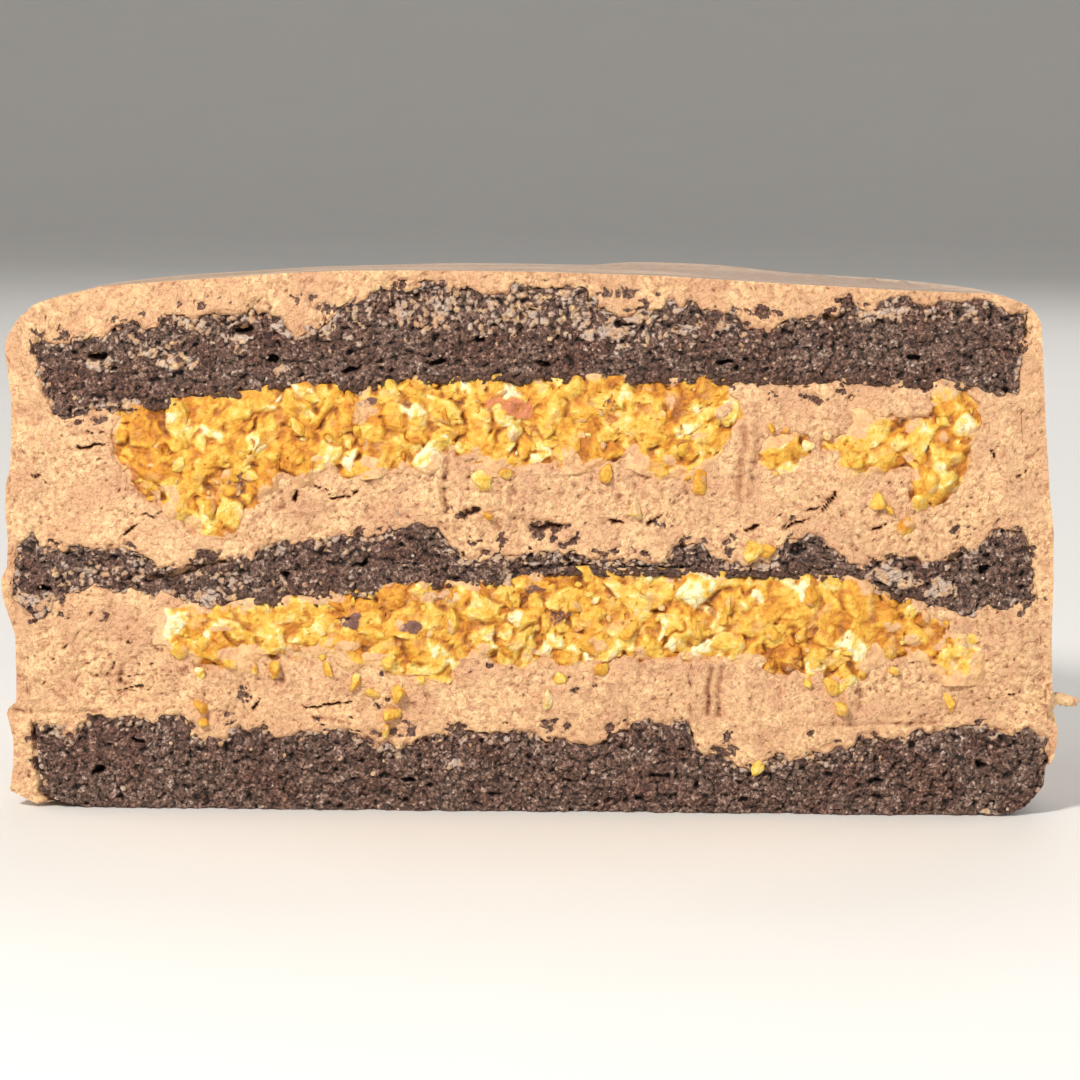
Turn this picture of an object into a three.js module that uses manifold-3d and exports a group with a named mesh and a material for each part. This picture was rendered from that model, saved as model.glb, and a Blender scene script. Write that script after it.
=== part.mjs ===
// Half of a round chocolate layer cake, standing on its base with the flat cut facing -Y.
// Millimetres: x runs along the cut from the middle of the cake, z is above the base.
import * as THREE from "three";
import { ImprovedNoise } from "three/addons/math/ImprovedNoise.js";
import { mergeVertices } from "three/addons/utils/BufferGeometryUtils.js";
import Module from "manifold-3d";

const wasm = await Module();
wasm.setup();

const { lerp, smoothstep, degToRad, seededRandom } = THREE.MathUtils;
const noise = new ImprovedNoise();

// Driving sizes
const CAKE_HEIGHT = 87;
const RIM_HEIGHT = 82.3;
const RIM_RADIUS = 78;
const GAP = 0.3;
const SIDE_GAP = 0.5;

// Facets of the round side, of the nut beds in it, and where they start beside the cut
const COLUMNS = 48;
const BED_COLUMNS = 36;
const END_TURN = degToRad(1.5);

// The borders between layers run straight back from the cut, then settle and roll gently
const CUT_STRAIGHT = 12;
const CUT_REACH = 40;
const ROLL = 1.2;

// Depth of the torn crumb and of the knife's waves in the cream
const CRAG = 1.3;
const CREAM_WAVE = 0.3;

// Nuts in each bed: size and count of each kind, and the room one needs as a share of its size
const NUT_KINDS = [[5.8, 15], [4.6, 22], [3.4, 30]];
const NUT_REACH = 0.68;
const TRIES = 200;

const HOLE_DEPTH = 5;
const GROOVE = 1.3;

// Straight lines through a few [x, z] points, level beyond both ends
function profile(points) {
  return (x) => {
    const next = points.findIndex((point) => point[0] > x);
    if (next === 0) return points[0][1];
    if (next < 0) return points.at(-1)[1];
    const [x0, z0] = points[next - 1];
    const [x1, z1] = points[next];
    return lerp(z0, z1, (x - x0) / (x1 - x0));
  };
}

// A border between two layers: its line at the cut settles to a gently rolling level behind it
function border(left, right, settled, points) {
  const line = profile(points);
  const height = (x, y) => {
    const behind = settled + ROLL * noise.noise(x / 35, y / 35, settled);
    return lerp(line(x), behind, smoothstep(y, CUT_STRAIGHT, CUT_REACH));
  };
  return { left, right, height };
}

// The same border raised by a step and grown outwards
function moved(level, raise, grow = 0) {
  const height = (x, y, turn) => level.height(x, y, turn) + raise;
  return { ...level, height, grow };
}

const flatLevel = (left, right, z) => ({ left, right, height: () => z });

// Borders of the layers from the base up
const base = flatLevel(-75.5, 76.5, 0);
const heel = flatLevel(-79.2, 81.8, 3);
const bottomSpongeTop = border(-80.2, 83.2, 12.4, [
  [-80, 13.2], [-74, 12], [-70, 14.6], [-60, 15], [-53, 11.5], [-46, 13.5], [-40, 11.8], [-30, 12.8],
  [-23, 10], [-13, 12.8], [0, 12.4], [9, 10.5], [17, 14], [25, 13.4], [35, 7.6], [46, 10], [60, 13.2],
  [73, 14.6], [83, 13],
]);
const middleSpongeBase = border(-83.8, 80.2, 35, [
  [-84, 33.5], [-79, 31.2], [-74, 34.6], [-67, 35.7], [-58, 34.5], [-51, 32], [-40, 33.5], [-20, 36],
  [-7, 36.6], [5, 38.5], [45, 38], [57, 35.5], [68, 33], [80, 35],
]);
const middleSpongeTop = border(-83, 79.2, 43, [
  [-83, 42.2], [-80.5, 45], [-76, 42.6], [-65, 42], [-59, 39.3], [-48, 41], [-36, 44], [-17, 46.3],
  [-12, 42], [2, 44], [18, 41], [38, 41], [41, 45], [45, 44.5], [52, 40], [64, 41.5], [74, 46.2], [79, 43.5],
]);
const topSpongeBase = border(-77.5, 76.8, 67.5, [
  [-77, 64], [-70, 64], [-57, 65.4], [-46, 66.5], [-41, 68], [-31, 67.5], [-20, 69], [20, 69.5], [60, 69.2],
  [77, 68],
]);
const topSpongeTop = border(-80.6, 77.8, 78.5, [
  [-80, 75.3], [-70, 75.6], [-63, 78.5], [-54, 80.3], [-45, 80.4], [-37, 76.6], [-30, 80], [-23, 83.6],
  [5, 84.3], [11, 82.2], [30, 80.5], [43, 83], [60, 83.5], [79, 81.5],
]);

// A point of a level at a turn round the back and a share of the depth there
function onLevel({ left, right, height, grow = 0 }, turn, depth) {
  const radius = (right - left) / 2;
  const outward = new THREE.Vector3(-Math.cos(turn), depth * Math.sin(turn), 0);
  const point = outward.clone().multiplyScalar(radius);
  point.x += (left + right) / 2;
  point.z = height(point.x, point.y, turn);
  return point.addScaledVector(outward, grow);
}

// The line a level takes across the cut, facet by facet
function cutLine(level, columns) {
  const points = [];
  for (let column = 0; column <= columns; column += 1) {
    const { x, z } = onLevel(level, lerp(END_TURN, Math.PI - END_TURN, column / columns), 0);
    points.push([x, z]);
  }
  return profile(points);
}

function solid(geometry) {
  return new wasm.Manifold(new wasm.Mesh({
    numProp: 3,
    vertProperties: Float32Array.from(geometry.attributes.position.array),
    triVerts: Uint32Array.from(geometry.index.array),
  }));
}

function welded(geometry) {
  geometry.deleteAttribute("normal");
  geometry.deleteAttribute("uv");
  return mergeVertices(geometry);
}

// A unit block whose underside is split along the same diagonals as its top, so that stacked blocks nest
function gridBlock(columns, ranks, rows) {
  const box = new THREE.BoxGeometry(1, 1, 1, columns, ranks, rows);
  const index = box.index.array;
  const underside = box.groups.at(-1);
  for (let i = underside.start; i < underside.start + underside.count; i += 6) {
    const [a, b, d, , c] = index.slice(i, i + 5);
    index.set([a, b, c, a, c, d], i);
  }
  return welded(box);
}

// A half-round block through a list of levels; front(x, z, rim) moves its flat side, rim is 0 at the edges
function halfRound(levels, { columns = COLUMNS, depths = [0, 0.14, 1], rows = 1, front = () => 0 }) {
  const storeys = levels.length - 1;
  const geometry = gridBlock(columns, depths.length - 1, storeys * rows);
  const at = geometry.attributes.position;
  for (let i = 0; i < at.count; i += 1) {
    const turn = lerp(END_TURN, Math.PI - END_TURN, at.getX(i) + 0.5);
    const depth = depths[Math.round((at.getY(i) + 0.5) * (depths.length - 1))];
    const rise = (at.getZ(i) + 0.5) * storeys;
    const storey = Math.min(Math.floor(rise + 1e-6), storeys - 1);
    const point = onLevel(levels[storey], turn, depth);
    point.lerp(onLevel(levels[storey + 1], turn, depth), rise - storey);
    if (depth === 0) {
      point.y += front(point.x, point.z, Math.sin(Math.PI * (rise / storeys)));
    }
    at.setXYZ(i, point.x, point.y, point.z);
  }
  return solid(geometry);
}

// Relief of the cut: torn crumb in the sponge, slow waves where the knife dragged the cream
function crumbCut(x, z, rim) {
  return CRAG * rim * (0.4 + noise.noise(x / 5, z / 5, 3) + noise.noise(x / 9, z / 3, 8));
}

const creamCut = (x, z, rim) => CREAM_WAVE * rim * noise.noise(x / 11, z / 7, 5);

// Sizes that differ from piece to piece come from one seeded series
seededRandom(11);
const between = (low, high) => lerp(low, high, seededRandom());

// A plain block with its middle at a point
function block(x, y, z, [width, depth, height]) {
  return solid(welded(new THREE.BoxGeometry(width, depth, height).translate(x, y, z)));
}

// An angular lump, stretched and turned at will
function lump(x, y, z, [width, depth, height], turn = 0) {
  const geometry = welded(new THREE.IcosahedronGeometry(1, 0));
  const at = geometry.attributes.position;
  for (let i = 0; i < at.count; i += 1) {
    const swell = between(0.82, 1.12);
    at.setXYZ(i, at.getX(i) * swell, at.getY(i) * swell, at.getZ(i) * swell);
  }
  geometry.scale(width / 2, depth / 2, height / 2).rotateY(turn).translate(x, y, z);
  return solid(geometry);
}

// A broken nut lying at any angle in the cut and standing out of it by part of its size
function nut(x, z, size) {
  const sides = [size * between(0.85, 1.25), size * between(0.7, 1), size * between(0.6, 0.95)];
  const depth = sides[1] / 2 - size * between(0.24, 0.42);
  return lump(x, depth, z, sides, between(0, Math.PI));
}

// Spreads nuts over part of the cut, the largest first, each clear of those before it
function spreadNuts({ left, right }, bottomLine, topLine) {
  const placed = [];
  for (const [size, count] of NUT_KINDS) {
    for (let attempt = 0, set = 0; attempt < count * TRIES && set < count; attempt += 1) {
      const reach = size * NUT_REACH;
      const x = between(left + reach, right - reach);
      const low = Math.max(bottomLine(x - reach), bottomLine(x), bottomLine(x + reach)) + reach;
      const high = Math.min(topLine(x - reach), topLine(x), topLine(x + reach)) - reach;
      const z = between(low, high);
      const free = placed.every((other) => {
        return Math.hypot(other.x - x, other.z - z) > (other.size + size) * 0.42;
      });
      if (low < high && free) {
        placed.push({ x, z, size });
        set += 1;
      }
    }
  }
  return placed.map(({ x, z, size }) => nut(x, z, size));
}

// One baked layer through its levels, with a few torn holes in the cut
function sponge(levels, rows, holes) {
  let body = halfRound(levels, { rows, front: crumbCut });
  for (const [x, z, width, height, tilt] of holes) {
    body = body.subtract(lump(x, -0.4, z, [width, HOLE_DEPTH, height], degToRad(tilt)));
  }
  return body;
}

// The bed of nuts under a sponge: a core sunk in the cream, cut back where cream was smeared over it
function nutBed({ under, smears }, grow) {
  const over = { ...under, height: () => CAKE_HEIGHT };
  let core = halfRound([moved(under, -1.5 * grow, grow), moved(over, 0, grow)], {
    columns: BED_COLUMNS,
    front: () => -2,
  });
  for (const { left, right, bottom, depth } of smears) {
    const size = [right - left - 2 * grow, 2 * (depth - grow), CAKE_HEIGHT];
    core = core.subtract(block((left + right) / 2, 0, bottom + grow + size[2] / 2, size));
  }
  return core;
}

// Cream and nuts between two sponges, as one body of each
function filling(lower, upper, bed) {
  const whole = halfRound([moved(lower, GAP / 2), moved(upper, -GAP / 2)], { front: creamCut });
  let nuts = whole.intersect(nutBed(bed, 0));
  let cream = whole.subtract(nutBed(bed, GAP));
  const floor = cutLine(bed.under, BED_COLUMNS);
  const crumb = cutLine(upper, COLUMNS);
  const ceiling = (x) => {
    const smears = bed.smears.filter(({ left, right }) => x > left && x < right);
    return Math.min(crumb(x), ...smears.map(({ bottom }) => bottom));
  };
  for (const piece of spreadNuts(bed.under, floor, ceiling)) {
    nuts = nuts.add(piece);
  }
  for (const [x, z] of bed.strays) {
    cream = cream.add(nut(x, z, between(1.8, 2.8)));
  }
  for (const [x, bottom, top] of bed.grooves) {
    cream = cream.subtract(lump(x, 0, (bottom + top) / 2, [GROOVE, GROOVE, top - bottom]));
  }
  return { cream, nuts };
}

// The two nut beds: underside, smears of cream over them, nuts that strayed into the cream and knife grooves
const lowerBed = {
  under: border(-59, 70.5, 24.5, [
    [-58, 25.6], [-48, 23.6], [-42, 25], [-27, 24.2], [-18, 21.8], [-11, 25.2], [10, 24.2], [30, 25.4],
    [39, 22.8], [50, 20.4], [55, 27], [62, 27.5], [66, 24], [70, 24],
  ]),
  smears: [{ left: 64, right: 75, bottom: 29.6, depth: 9 }],
  strays: [[-53.5, 20], [-26, 19], [-22, 16.5], [7, 18.5], [48, 17.5], [66, 19.5]],
  grooves: [[28.4, 15, 25], [51.5, 15.5, 20], [-66, 17, 24]],
};

const upperBed = {
  under: border(-66.5, 68.8, 55.5, [
    [-66, 54.5], [-61, 50], [-50, 44.6], [-46, 50], [-38, 54.6], [-25, 55.6], [-12, 57.8], [4, 57.2],
    [15, 57.6], [24, 53.8], [33, 61], [39, 57], [46, 60], [55, 57], [65, 52.8], [69, 60],
  ]),
  smears: [
    { left: 31.4, right: 35.2, bottom: 50, depth: 1.8 },
    { left: 34, right: 61.5, bottom: 62.4, depth: 9 },
  ],
  strays: [[-9, 53], [10.5, 54.5], [14, 50], [53, 52], [58.5, 48.5], [60.5, 51.5]],
  grooves: [[-15, 48, 59], [-4.6, 47, 56], [33.6, 51, 58], [-38, 50, 52.5]],
};

// The coat's outer wall from its lower edge to the rim: height, left edge, right edge
const wall = [
  [0.6, -80.6, 83.3], [3.5, -84.2, 83.8], [15.4, -84.6, 84], [17.6, -83.2, 83.4], [37, -85.5, 83.2],
  [60, -83.8, 81.6], [74, -84.7, 80.8], [79.5, -82.3, 80.2],
];
const BARE_HEIGHT = 8.2;
const HOLLOW_DROP = 8;
const UNEVEN_EDGE = 0.9;
const EDGE_TOP = 20;

// The lower edge of the coat is uneven and rises at the right end, where the sponge shows bare
function wallLevel([z, left, right]) {
  const height = (x, y, turn) => {
    const bare = BARE_HEIGHT * smoothstep(turn, degToRad(158), degToRad(179));
    const uneven = UNEVEN_EDGE * Math.sin(turn) * (1 + Math.sin(turn * 7));
    return z + (bare + uneven) * Math.max(0, 1 - z / EDGE_TOP);
  };
  return { left, right, height };
}

// The spread top: the line of its front rim, a low dome behind it and one ridge left by the spatula
const rimLine = profile([
  [-RIM_RADIUS, RIM_HEIGHT], [-70, 84], [-60, 85], [-40, 86.5], [-18, CAKE_HEIGHT], [4, CAKE_HEIGHT],
  [30, 86.2], [60, 84.7], [74, 83.8], [RIM_RADIUS, RIM_HEIGHT],
]);
const ridge = { x: 24, y: 40, length: 28, width: 18, height: 0.9 };

function topHeight(x, y) {
  const dome = lerp(CAKE_HEIGHT - 0.5, RIM_HEIGHT, Math.hypot(x, y) ** 3 / RIM_RADIUS ** 3);
  const along = Math.exp(-((2 * (x - ridge.x) / ridge.length) ** 4));
  const across = Math.exp(-((2 * (y - ridge.y) / ridge.width) ** 2));
  return lerp(rimLine(x), dome + ridge.height * along * across, smoothstep(y, 2, 30));
}

// A wisp of cream that the spatula pulled off the right end
function tail() {
  const wisp = new THREE.ConeGeometry(1.5, 6, 6).rotateZ(-Math.PI / 2).scale(1, 0.8, 1);
  return solid(welded(wisp.translate(85.2, 2.2, 18.8)));
}

// The cream spread over the whole stack of layers, hollow to the cut and underneath
function coating(stack) {
  const rim = { left: -RIM_RADIUS, right: RIM_RADIUS, height: topHeight };
  const outside = halfRound([...wall.map(wallLevel), rim], {
    depths: [0, 0.12, 0.42, 0.75, 1],
    front: creamCut,
  });
  const hollow = stack.map((level) => moved(level, 0, SIDE_GAP));
  hollow[0] = moved(stack[0], -HOLLOW_DROP, SIDE_GAP);
  hollow.push(moved(hollow.pop(), SIDE_GAP, SIDE_GAP));
  return outside.add(tail()).subtract(halfRound(hollow, { front: () => -3 }));
}

const CREAM = { color: "#ecbd86", roughness: 0.55, metalness: 0 };
const SPONGE = { color: "#6f5549", roughness: 0.9, metalness: 0 };
const CRUNCH = { color: "#e8b45a", roughness: 0.6, metalness: 0 };

function named(name, body, look) {
  const { numProp, vertProperties, triVerts } = body.getMesh();
  const geometry = new THREE.BufferGeometry();
  geometry.setAttribute("position", new THREE.BufferAttribute(vertProperties, numProp));
  geometry.setIndex(new THREE.BufferAttribute(triVerts, 1));
  geometry.computeVertexNormals();
  const mesh = new THREE.Mesh(geometry, new THREE.MeshStandardMaterial(look));
  mesh.name = name;
  return mesh;
}

const bottomSponge = sponge([base, heel, moved(bottomSpongeTop, -GAP / 2)], 2, [[-70, 6, 4, 3, 20]]);
const middleSponge = sponge(
  [moved(middleSpongeBase, GAP / 2), moved(middleSpongeTop, -GAP / 2)],
  3,
  [[-57, 38.3, 14, 1.2, -14]],
);
const topSponge = sponge(
  [moved(topSpongeBase, GAP / 2), moved(topSpongeTop, -GAP / 2)],
  3,
  [[-70, 72.5, 4, 3, 0], [-46, 77, 4, 3, 0], [-17, 72.5, 5, 2, 9], [12, 79.5, 4, 3, 0], [47, 79.5, 4, 3, 0]],
);
const lower = filling(bottomSpongeTop, middleSpongeBase, lowerBed);
const upper = filling(middleSpongeTop, topSpongeBase, upperBed);
const coat = coating([
  heel, bottomSpongeTop, middleSpongeBase, middleSpongeTop, topSpongeBase, topSpongeTop,
]);

const cake = new THREE.Group();
cake.name = "cake";
cake.add(
  named("sponge_bottom", bottomSponge, SPONGE),
  named("sponge_middle", middleSponge, SPONGE),
  named("sponge_top", topSponge, SPONGE),
  named("cream_lower", lower.cream, CREAM),
  named("cream_upper", upper.cream, CREAM),
  named("crunch_lower", lower.nuts, CRUNCH),
  named("crunch_upper", upper.nuts, CRUNCH),
  named("coat", coat, CREAM),
);

// The frame's origin is the middle of the base of the whole cake
const bounds = new THREE.Box3().setFromObject(cake);
const middle = bounds.getCenter(new THREE.Vector3());
for (const mesh of cake.children) {
  mesh.geometry.translate(-middle.x, -middle.y, -bounds.min.z);
}

export default cake;
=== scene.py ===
"""Half of a round chocolate layer cake with two beds of nut crunch, its cut face towards -Y.

Shapes are worked out in millimetres in the cake's own coordinates: x runs along the cut from the
middle of the cake, y is the depth behind the cut and z is above the base.
"""
import math
from functools import lru_cache

import bmesh
import bpy
import numpy as np
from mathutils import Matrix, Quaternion, Vector


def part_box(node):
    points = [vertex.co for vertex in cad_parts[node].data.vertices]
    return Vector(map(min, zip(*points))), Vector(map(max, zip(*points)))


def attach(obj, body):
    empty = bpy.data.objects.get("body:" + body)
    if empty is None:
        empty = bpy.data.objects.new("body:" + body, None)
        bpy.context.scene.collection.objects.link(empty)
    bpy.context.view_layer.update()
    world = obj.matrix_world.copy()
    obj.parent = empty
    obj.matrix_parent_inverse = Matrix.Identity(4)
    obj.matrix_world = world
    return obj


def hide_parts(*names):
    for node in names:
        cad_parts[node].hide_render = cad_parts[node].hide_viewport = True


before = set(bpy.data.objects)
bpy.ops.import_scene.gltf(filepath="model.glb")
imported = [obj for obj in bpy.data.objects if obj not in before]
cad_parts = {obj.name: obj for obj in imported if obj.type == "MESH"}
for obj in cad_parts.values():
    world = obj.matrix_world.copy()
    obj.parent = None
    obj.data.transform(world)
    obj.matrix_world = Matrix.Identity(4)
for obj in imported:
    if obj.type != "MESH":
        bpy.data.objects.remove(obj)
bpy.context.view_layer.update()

# Where the cake's own coordinates lie in the frame: the coat's left and back reach are known
MM = 0.001
COAT_LEFT = -85.5
COAT_BACK = 84.35
coat_low, coat_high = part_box("coat")
ORIGIN = np.array([coat_low.x / MM - COAT_LEFT, coat_high.y / MM - COAT_BACK, 0.0])

# Grid steps of the cut faces
CRUMB_STEP = 0.26
CREAM_STEP = 0.34
CORE_STEP = 0.27

# Borders of the sponges along the cut, from left to right
BOTTOM_SPONGE_TOP = [
    (-80, 13), (-78, 13.5), (-76, 12), (-74, 11.5), (-73, 14.3), (-65, 15.3), (-57, 14.5), (-53, 11.5),
    (-50, 12.3), (-47.5, 14.5), (-46, 12.5), (-40, 11.7), (-30, 13), (-25, 10), (-20, 10.8),
    (-13, 12.8), (0, 12.7), (5, 11), (10, 10.5), (12, 12), (16, 14), (20, 14.3), (25, 14), (25.5, 11.5),
    (32, 8), (36, 7.5), (38, 9.5), (46, 10), (53, 12), (65, 13.3), (73, 14.7), (77, 12.8), (80, 14.2),
    (83.5, 12),
]
MIDDLE_SPONGE_BASE = [
    (-84, 34), (-80, 31), (-75, 34), (-70, 35.5), (-60, 35), (-50, 32), (-45, 33), (-35, 34),
    (-25, 35.5), (-10, 36), (0, 37.5), (5, 38.5), (40, 38.5), (50, 37.5), (60, 35), (70, 33),
    (78, 34.8), (80, 35),
]
MIDDLE_SPONGE_TOP = [
    (-83, 42), (-80.5, 45.5), (-79.5, 43), (-75, 42.5), (-65, 42), (-60, 39.2), (-54, 41), (-50, 40.5),
    (-45, 41), (-40, 43.5), (-30, 44), (-24, 45.3), (-16, 46.4), (-14, 44.2), (-12, 41.4), (-4, 41.4),
    (4, 42.8), (8, 41.6), (18, 40.4), (21, 40.8), (23.5, 43.8), (26.5, 43.8), (29, 41.2), (34, 40.4),
    (37.5, 41), (40.5, 44.8), (44.5, 45), (50, 41.5), (52, 40), (60, 42), (65, 41), (71, 44),
    (74, 46.3), (78.5, 45.2), (79, 43),
]
TOP_SPONGE_BASE = [
    (-77.5, 64), (-75.5, 63.3), (-66, 64.5), (-55, 65.5), (-45, 66.8), (-42, 68), (-30, 67.5),
    (-20, 69), (0, 69.5), (50, 69.5), (70, 69), (75, 68), (77, 68),
]
TOP_SPONGE_TOP = [
    (-80.5, 75.3), (-70, 75.5), (-66, 76.5), (-60, 78.5), (-50, 80.5), (-44, 80.5), (-38, 76.5),
    (-33, 79), (-25, 83), (-20, 83.8), (-10, 84.5), (7, 84), (10, 82), (12, 80.6), (18, 80.6), (20, 82),
    (26, 81), (31, 80), (33, 78.9), (39, 78.8), (42, 80.6), (50, 82.4), (70, 82.6), (78, 81.6),
]

# Ends of each border: left, right and the level to which it settles behind the cut
HEEL_ENDS = (-79.2, 82.3)
BORDER_ENDS = {
    "bottom_top": (-80.2, 83.2, 12.4),
    "middle_base": (-83.8, 80.2, 35.0),
    "middle_top": (-83.0, 79.2, 43.0),
    "top_base": (-77.5, 76.8, 67.5),
    "top_top": (-80.6, 77.8, 78.5),
}
SETTLE_FROM, SETTLE_TO = 12.0, 40.0

# Outlines of the nut crunch in the cut
UPPER_BED = [
    (-66.5, 66), (-66.5, 58), (-66, 54), (-62, 50.5), (-57, 47), (-50, 43.8), (-47, 47), (-45, 50.5),
    (-42, 53.5), (-35, 55), (-28, 54.5), (-22, 56.5), (-13, 58), (0, 56.5), (9, 57), (15, 58), (20, 55),
    (25, 53.5), (28, 57), (32, 64), (31.5, 71), (-66, 71),
]
UPPER_ISLANDS = [
    [
        (36.2, 58.5), (37, 61), (39.5, 61.8), (42, 60.6), (42.4, 58), (41, 55.6), (38.5, 55.2), (36.8, 56.2),
    ],
    [
        (45.5, 60.8), (48, 57.5), (51, 55.2), (55, 55), (58.5, 56.8), (60.6, 56), (60.6, 52), (64, 50.8),
        (67, 51.5), (67.6, 55), (69.6, 59), (69.8, 64), (68.5, 68.5), (63.5, 68.5), (63.2, 64),
        (60, 62.5), (57, 64), (54, 62.5), (50, 61),
    ],
]
LOWER_BED = [
    (-59, 32), (-58.5, 25), (-50, 24), (-47, 23.5), (-45, 26), (-30, 24.5), (-20, 22), (-15, 21.5),
    (-11, 25.5), (10, 24), (16, 25.5), (35, 25), (40, 22.5), (48, 22), (51, 20), (54, 26), (62, 27.5),
    (64, 23.5), (70.5, 23.5), (71, 28), (66, 31), (58, 35), (45, 40), (5, 40), (-8, 37), (-25, 36.5),
    (-35, 35.2), (-50, 32.4),
]

# Cream that fills gaps between the nuts: x, z, width, height
BED_GAPS = [
    (-47.5, 51.5, 2.6, 5), (-61.5, 56, 2.4, 2), (-40.5, 53.6, 4, 2.4), (-58.5, 49, 3, 2),
    (29.5, 65, 4, 3), (16, 57.5, 4, 2.2), (-27, 56.4, 5, 2), (59.6, 58.4, 2.4, 3), (47.4, 58.2, 3, 2),
    (33, 69, 5, 4), (-10, 57.4, 6, 1.6), (6, 57.4, 4, 2), (21.5, 57.5, 3, 1.8), (-35, 57, 3, 1.6),
    (-54, 66.4, 5, 1.4), (-47, 25.4, 9, 2.8), (-37.5, 26, 9, 3.2), (-55.5, 24.6, 3, 2.6),
    (-29, 27, 6, 2.2), (-50, 29.4, 6, 1.6), (-24, 25, 6, 2.2), (7, 29, 3, 2), (56.5, 31, 5, 3),
    (61, 28.5, 4, 2.4), (-8, 27, 3, 2), (36, 25, 3, 2), (50.5, 29, 2, 4), (46, 22.4, 2, 3),
    (-34, 34.4, 9, 1.8), (-14, 34.8, 9, 2.2), (17, 26.6, 3, 1.8), (65, 27.6, 3, 2), (42, 35, 3, 1.6),
]

# Bits of nut that strayed into the cream: x, z and size
STRAYS = [
    (-53.5, 22, 3.4), (-53.2, 16.8, 4.2), (-53, 14.2, 3), (-41.9, 22.7, 3.4), (-48.5, 23.7, 3.4),
    (-56.8, 26, 2.6), (-45, 23.2, 2.2), (-33, 23, 2.4), (-28.6, 20.8, 3), (-25.8, 19.2, 3.2),
    (-22, 18.7, 4.6), (-23, 15.8, 4.4), (-23.7, 12.9, 2.4), (-18, 21, 2.6), (4.3, 21.8, 2.8),
    (2.4, 18.4, 3.2), (10.8, 23.3, 3.4), (47.5, 20.8, 3.4), (49.2, 17.3, 4.4), (44, 21.6, 2.4),
    (58, 23.4, 2.6), (67, 18.6, 3), (36.4, 8, 3.6), (-8.5, 53.9, 4), (-4.6, 54.6, 2.4), (11.4, 55, 4),
    (26.5, 53.8, 4.6), (15.7, 48.9, 3.8), (-7.6, 47.9, 2.8), (37.6, 62.6, 2.4), (43.4, 59.8, 2.6),
    (46.4, 61.4, 2.4), (54.7, 50.6, 3.4), (56.4, 49.8, 2.2), (61.4, 50.4, 3.8), (59.4, 47.2, 3.8),
    (64.1, 53.8, 5.4), (35.2, 42.8, 4.4), (37, 42.5, 4),
]

# Outline of the coat in the cut: up the left wall, over the rim and down the right wall
LEFT_WALL = [
    (-80, 0.6), (-84.3, 2.7), (-83.7, 7), (-83.7, 11), (-84.7, 15.3), (-84.4, 16.2), (-83.2, 17.2),
    (-83.2, 22), (-83.3, 28), (-84.3, 31), (-85.3, 34), (-85.5, 37), (-84.6, 39), (-84.4, 43),
    (-84.8, 48), (-84.7, 52), (-84, 55), (-83.8, 60), (-83.7, 66), (-84.7, 74), (-84.3, 76),
    (-82.5, 79), (-80, 81.2), (-77, 82.2), (-75, 82.6),
]
RIGHT_WALL = [
    (83.2, 0.6), (83.8, 2), (84.2, 6), (84.3, 11), (83.5, 15.5), (83.3, 21), (83, 28), (83.1, 38),
    (83, 46), (82.2, 52), (81.6, 60), (80.7, 73), (80.4, 77), (80.2, 79.5), (79.4, 81.2), (78, 82.5),
    (75, 83.6),
]
RIM = [
    (-75, 82.6), (-70, 84), (-60, 85), (-50, 85.7), (-40, 86.5), (-30, 87), (-20, 87.1), (0, 87.1),
    (20, 86.6), (40, 85.5), (60, 84.6), (70, 84.2), (75, 83.6),
]
COAT_TOP = LEFT_WALL[-5:] + RIM[1:-1] + RIGHT_WALL[:-6:-1]
RIM_TURN = 75.0
DOME_TOP, DOME_RIM, DOME_RADIUS = 86.5, 82.3, 78.0
BARE_HEIGHT = 8.2
BARE_FROM, BARE_TO = math.radians(158), math.radians(179)
UNEVEN_EDGE = 0.9
EDGE_TOP = 20.0

# Slits and holes left in the cream: x, z, length, tilt in degrees and width
SLITS = [
    (-80, 53.5, 2.6, 14, 0.6), (-78.3, 52.8, 2.4, -34, 0.25), (-65, 45, 5, 40, 0.28),
    (-62, 47.5, 6, 14, 0.22), (-38, 51, 3, 74, 0.35), (-31, 51, 7, 6, 0.24), (-34, 52.2, 4, -24, 0.2),
    (12.6, 47.2, 3.4, -10, 0.6), (-10.2, 48.7, 3.2, 6, 0.7), (2.2, 46.3, 6.4, -4, 0.8),
    (44.5, 49.5, 5.4, 30, 0.4), (47, 50.6, 5, 62, 0.22), (42, 47.6, 6, 12, 0.24),
    (19, 47.5, 4, 32, 0.3), (35, 46.6, 5, 16, 0.3), (71.4, 24.4, 1.5, -30, 0.7), (77, 55, 2.4, 36, 0.4),
    (73, 58.5, 2.4, -24, 0.25), (76.5, 19.5, 2, 10, 0.35), (-64, 19.6, 4, 8, 0.25),
    (-65.5, 27, 2.6, -16, 0.3), (55, 46.5, 4, 20, 0.25), (-45, 16.6, 3, 60, 0.3),
    (25.5, 12.5, 2, 80, 0.4), (-30, 81.2, 3, 24, 0.4), (-71.5, 58.5, 8, 6, 0.2),
    (-70.5, 61, 5, -4, 0.2), (52, 63.4, 4, 6, 0.5), (-33, 17.2, 9, 4, 0.24),
]

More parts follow.
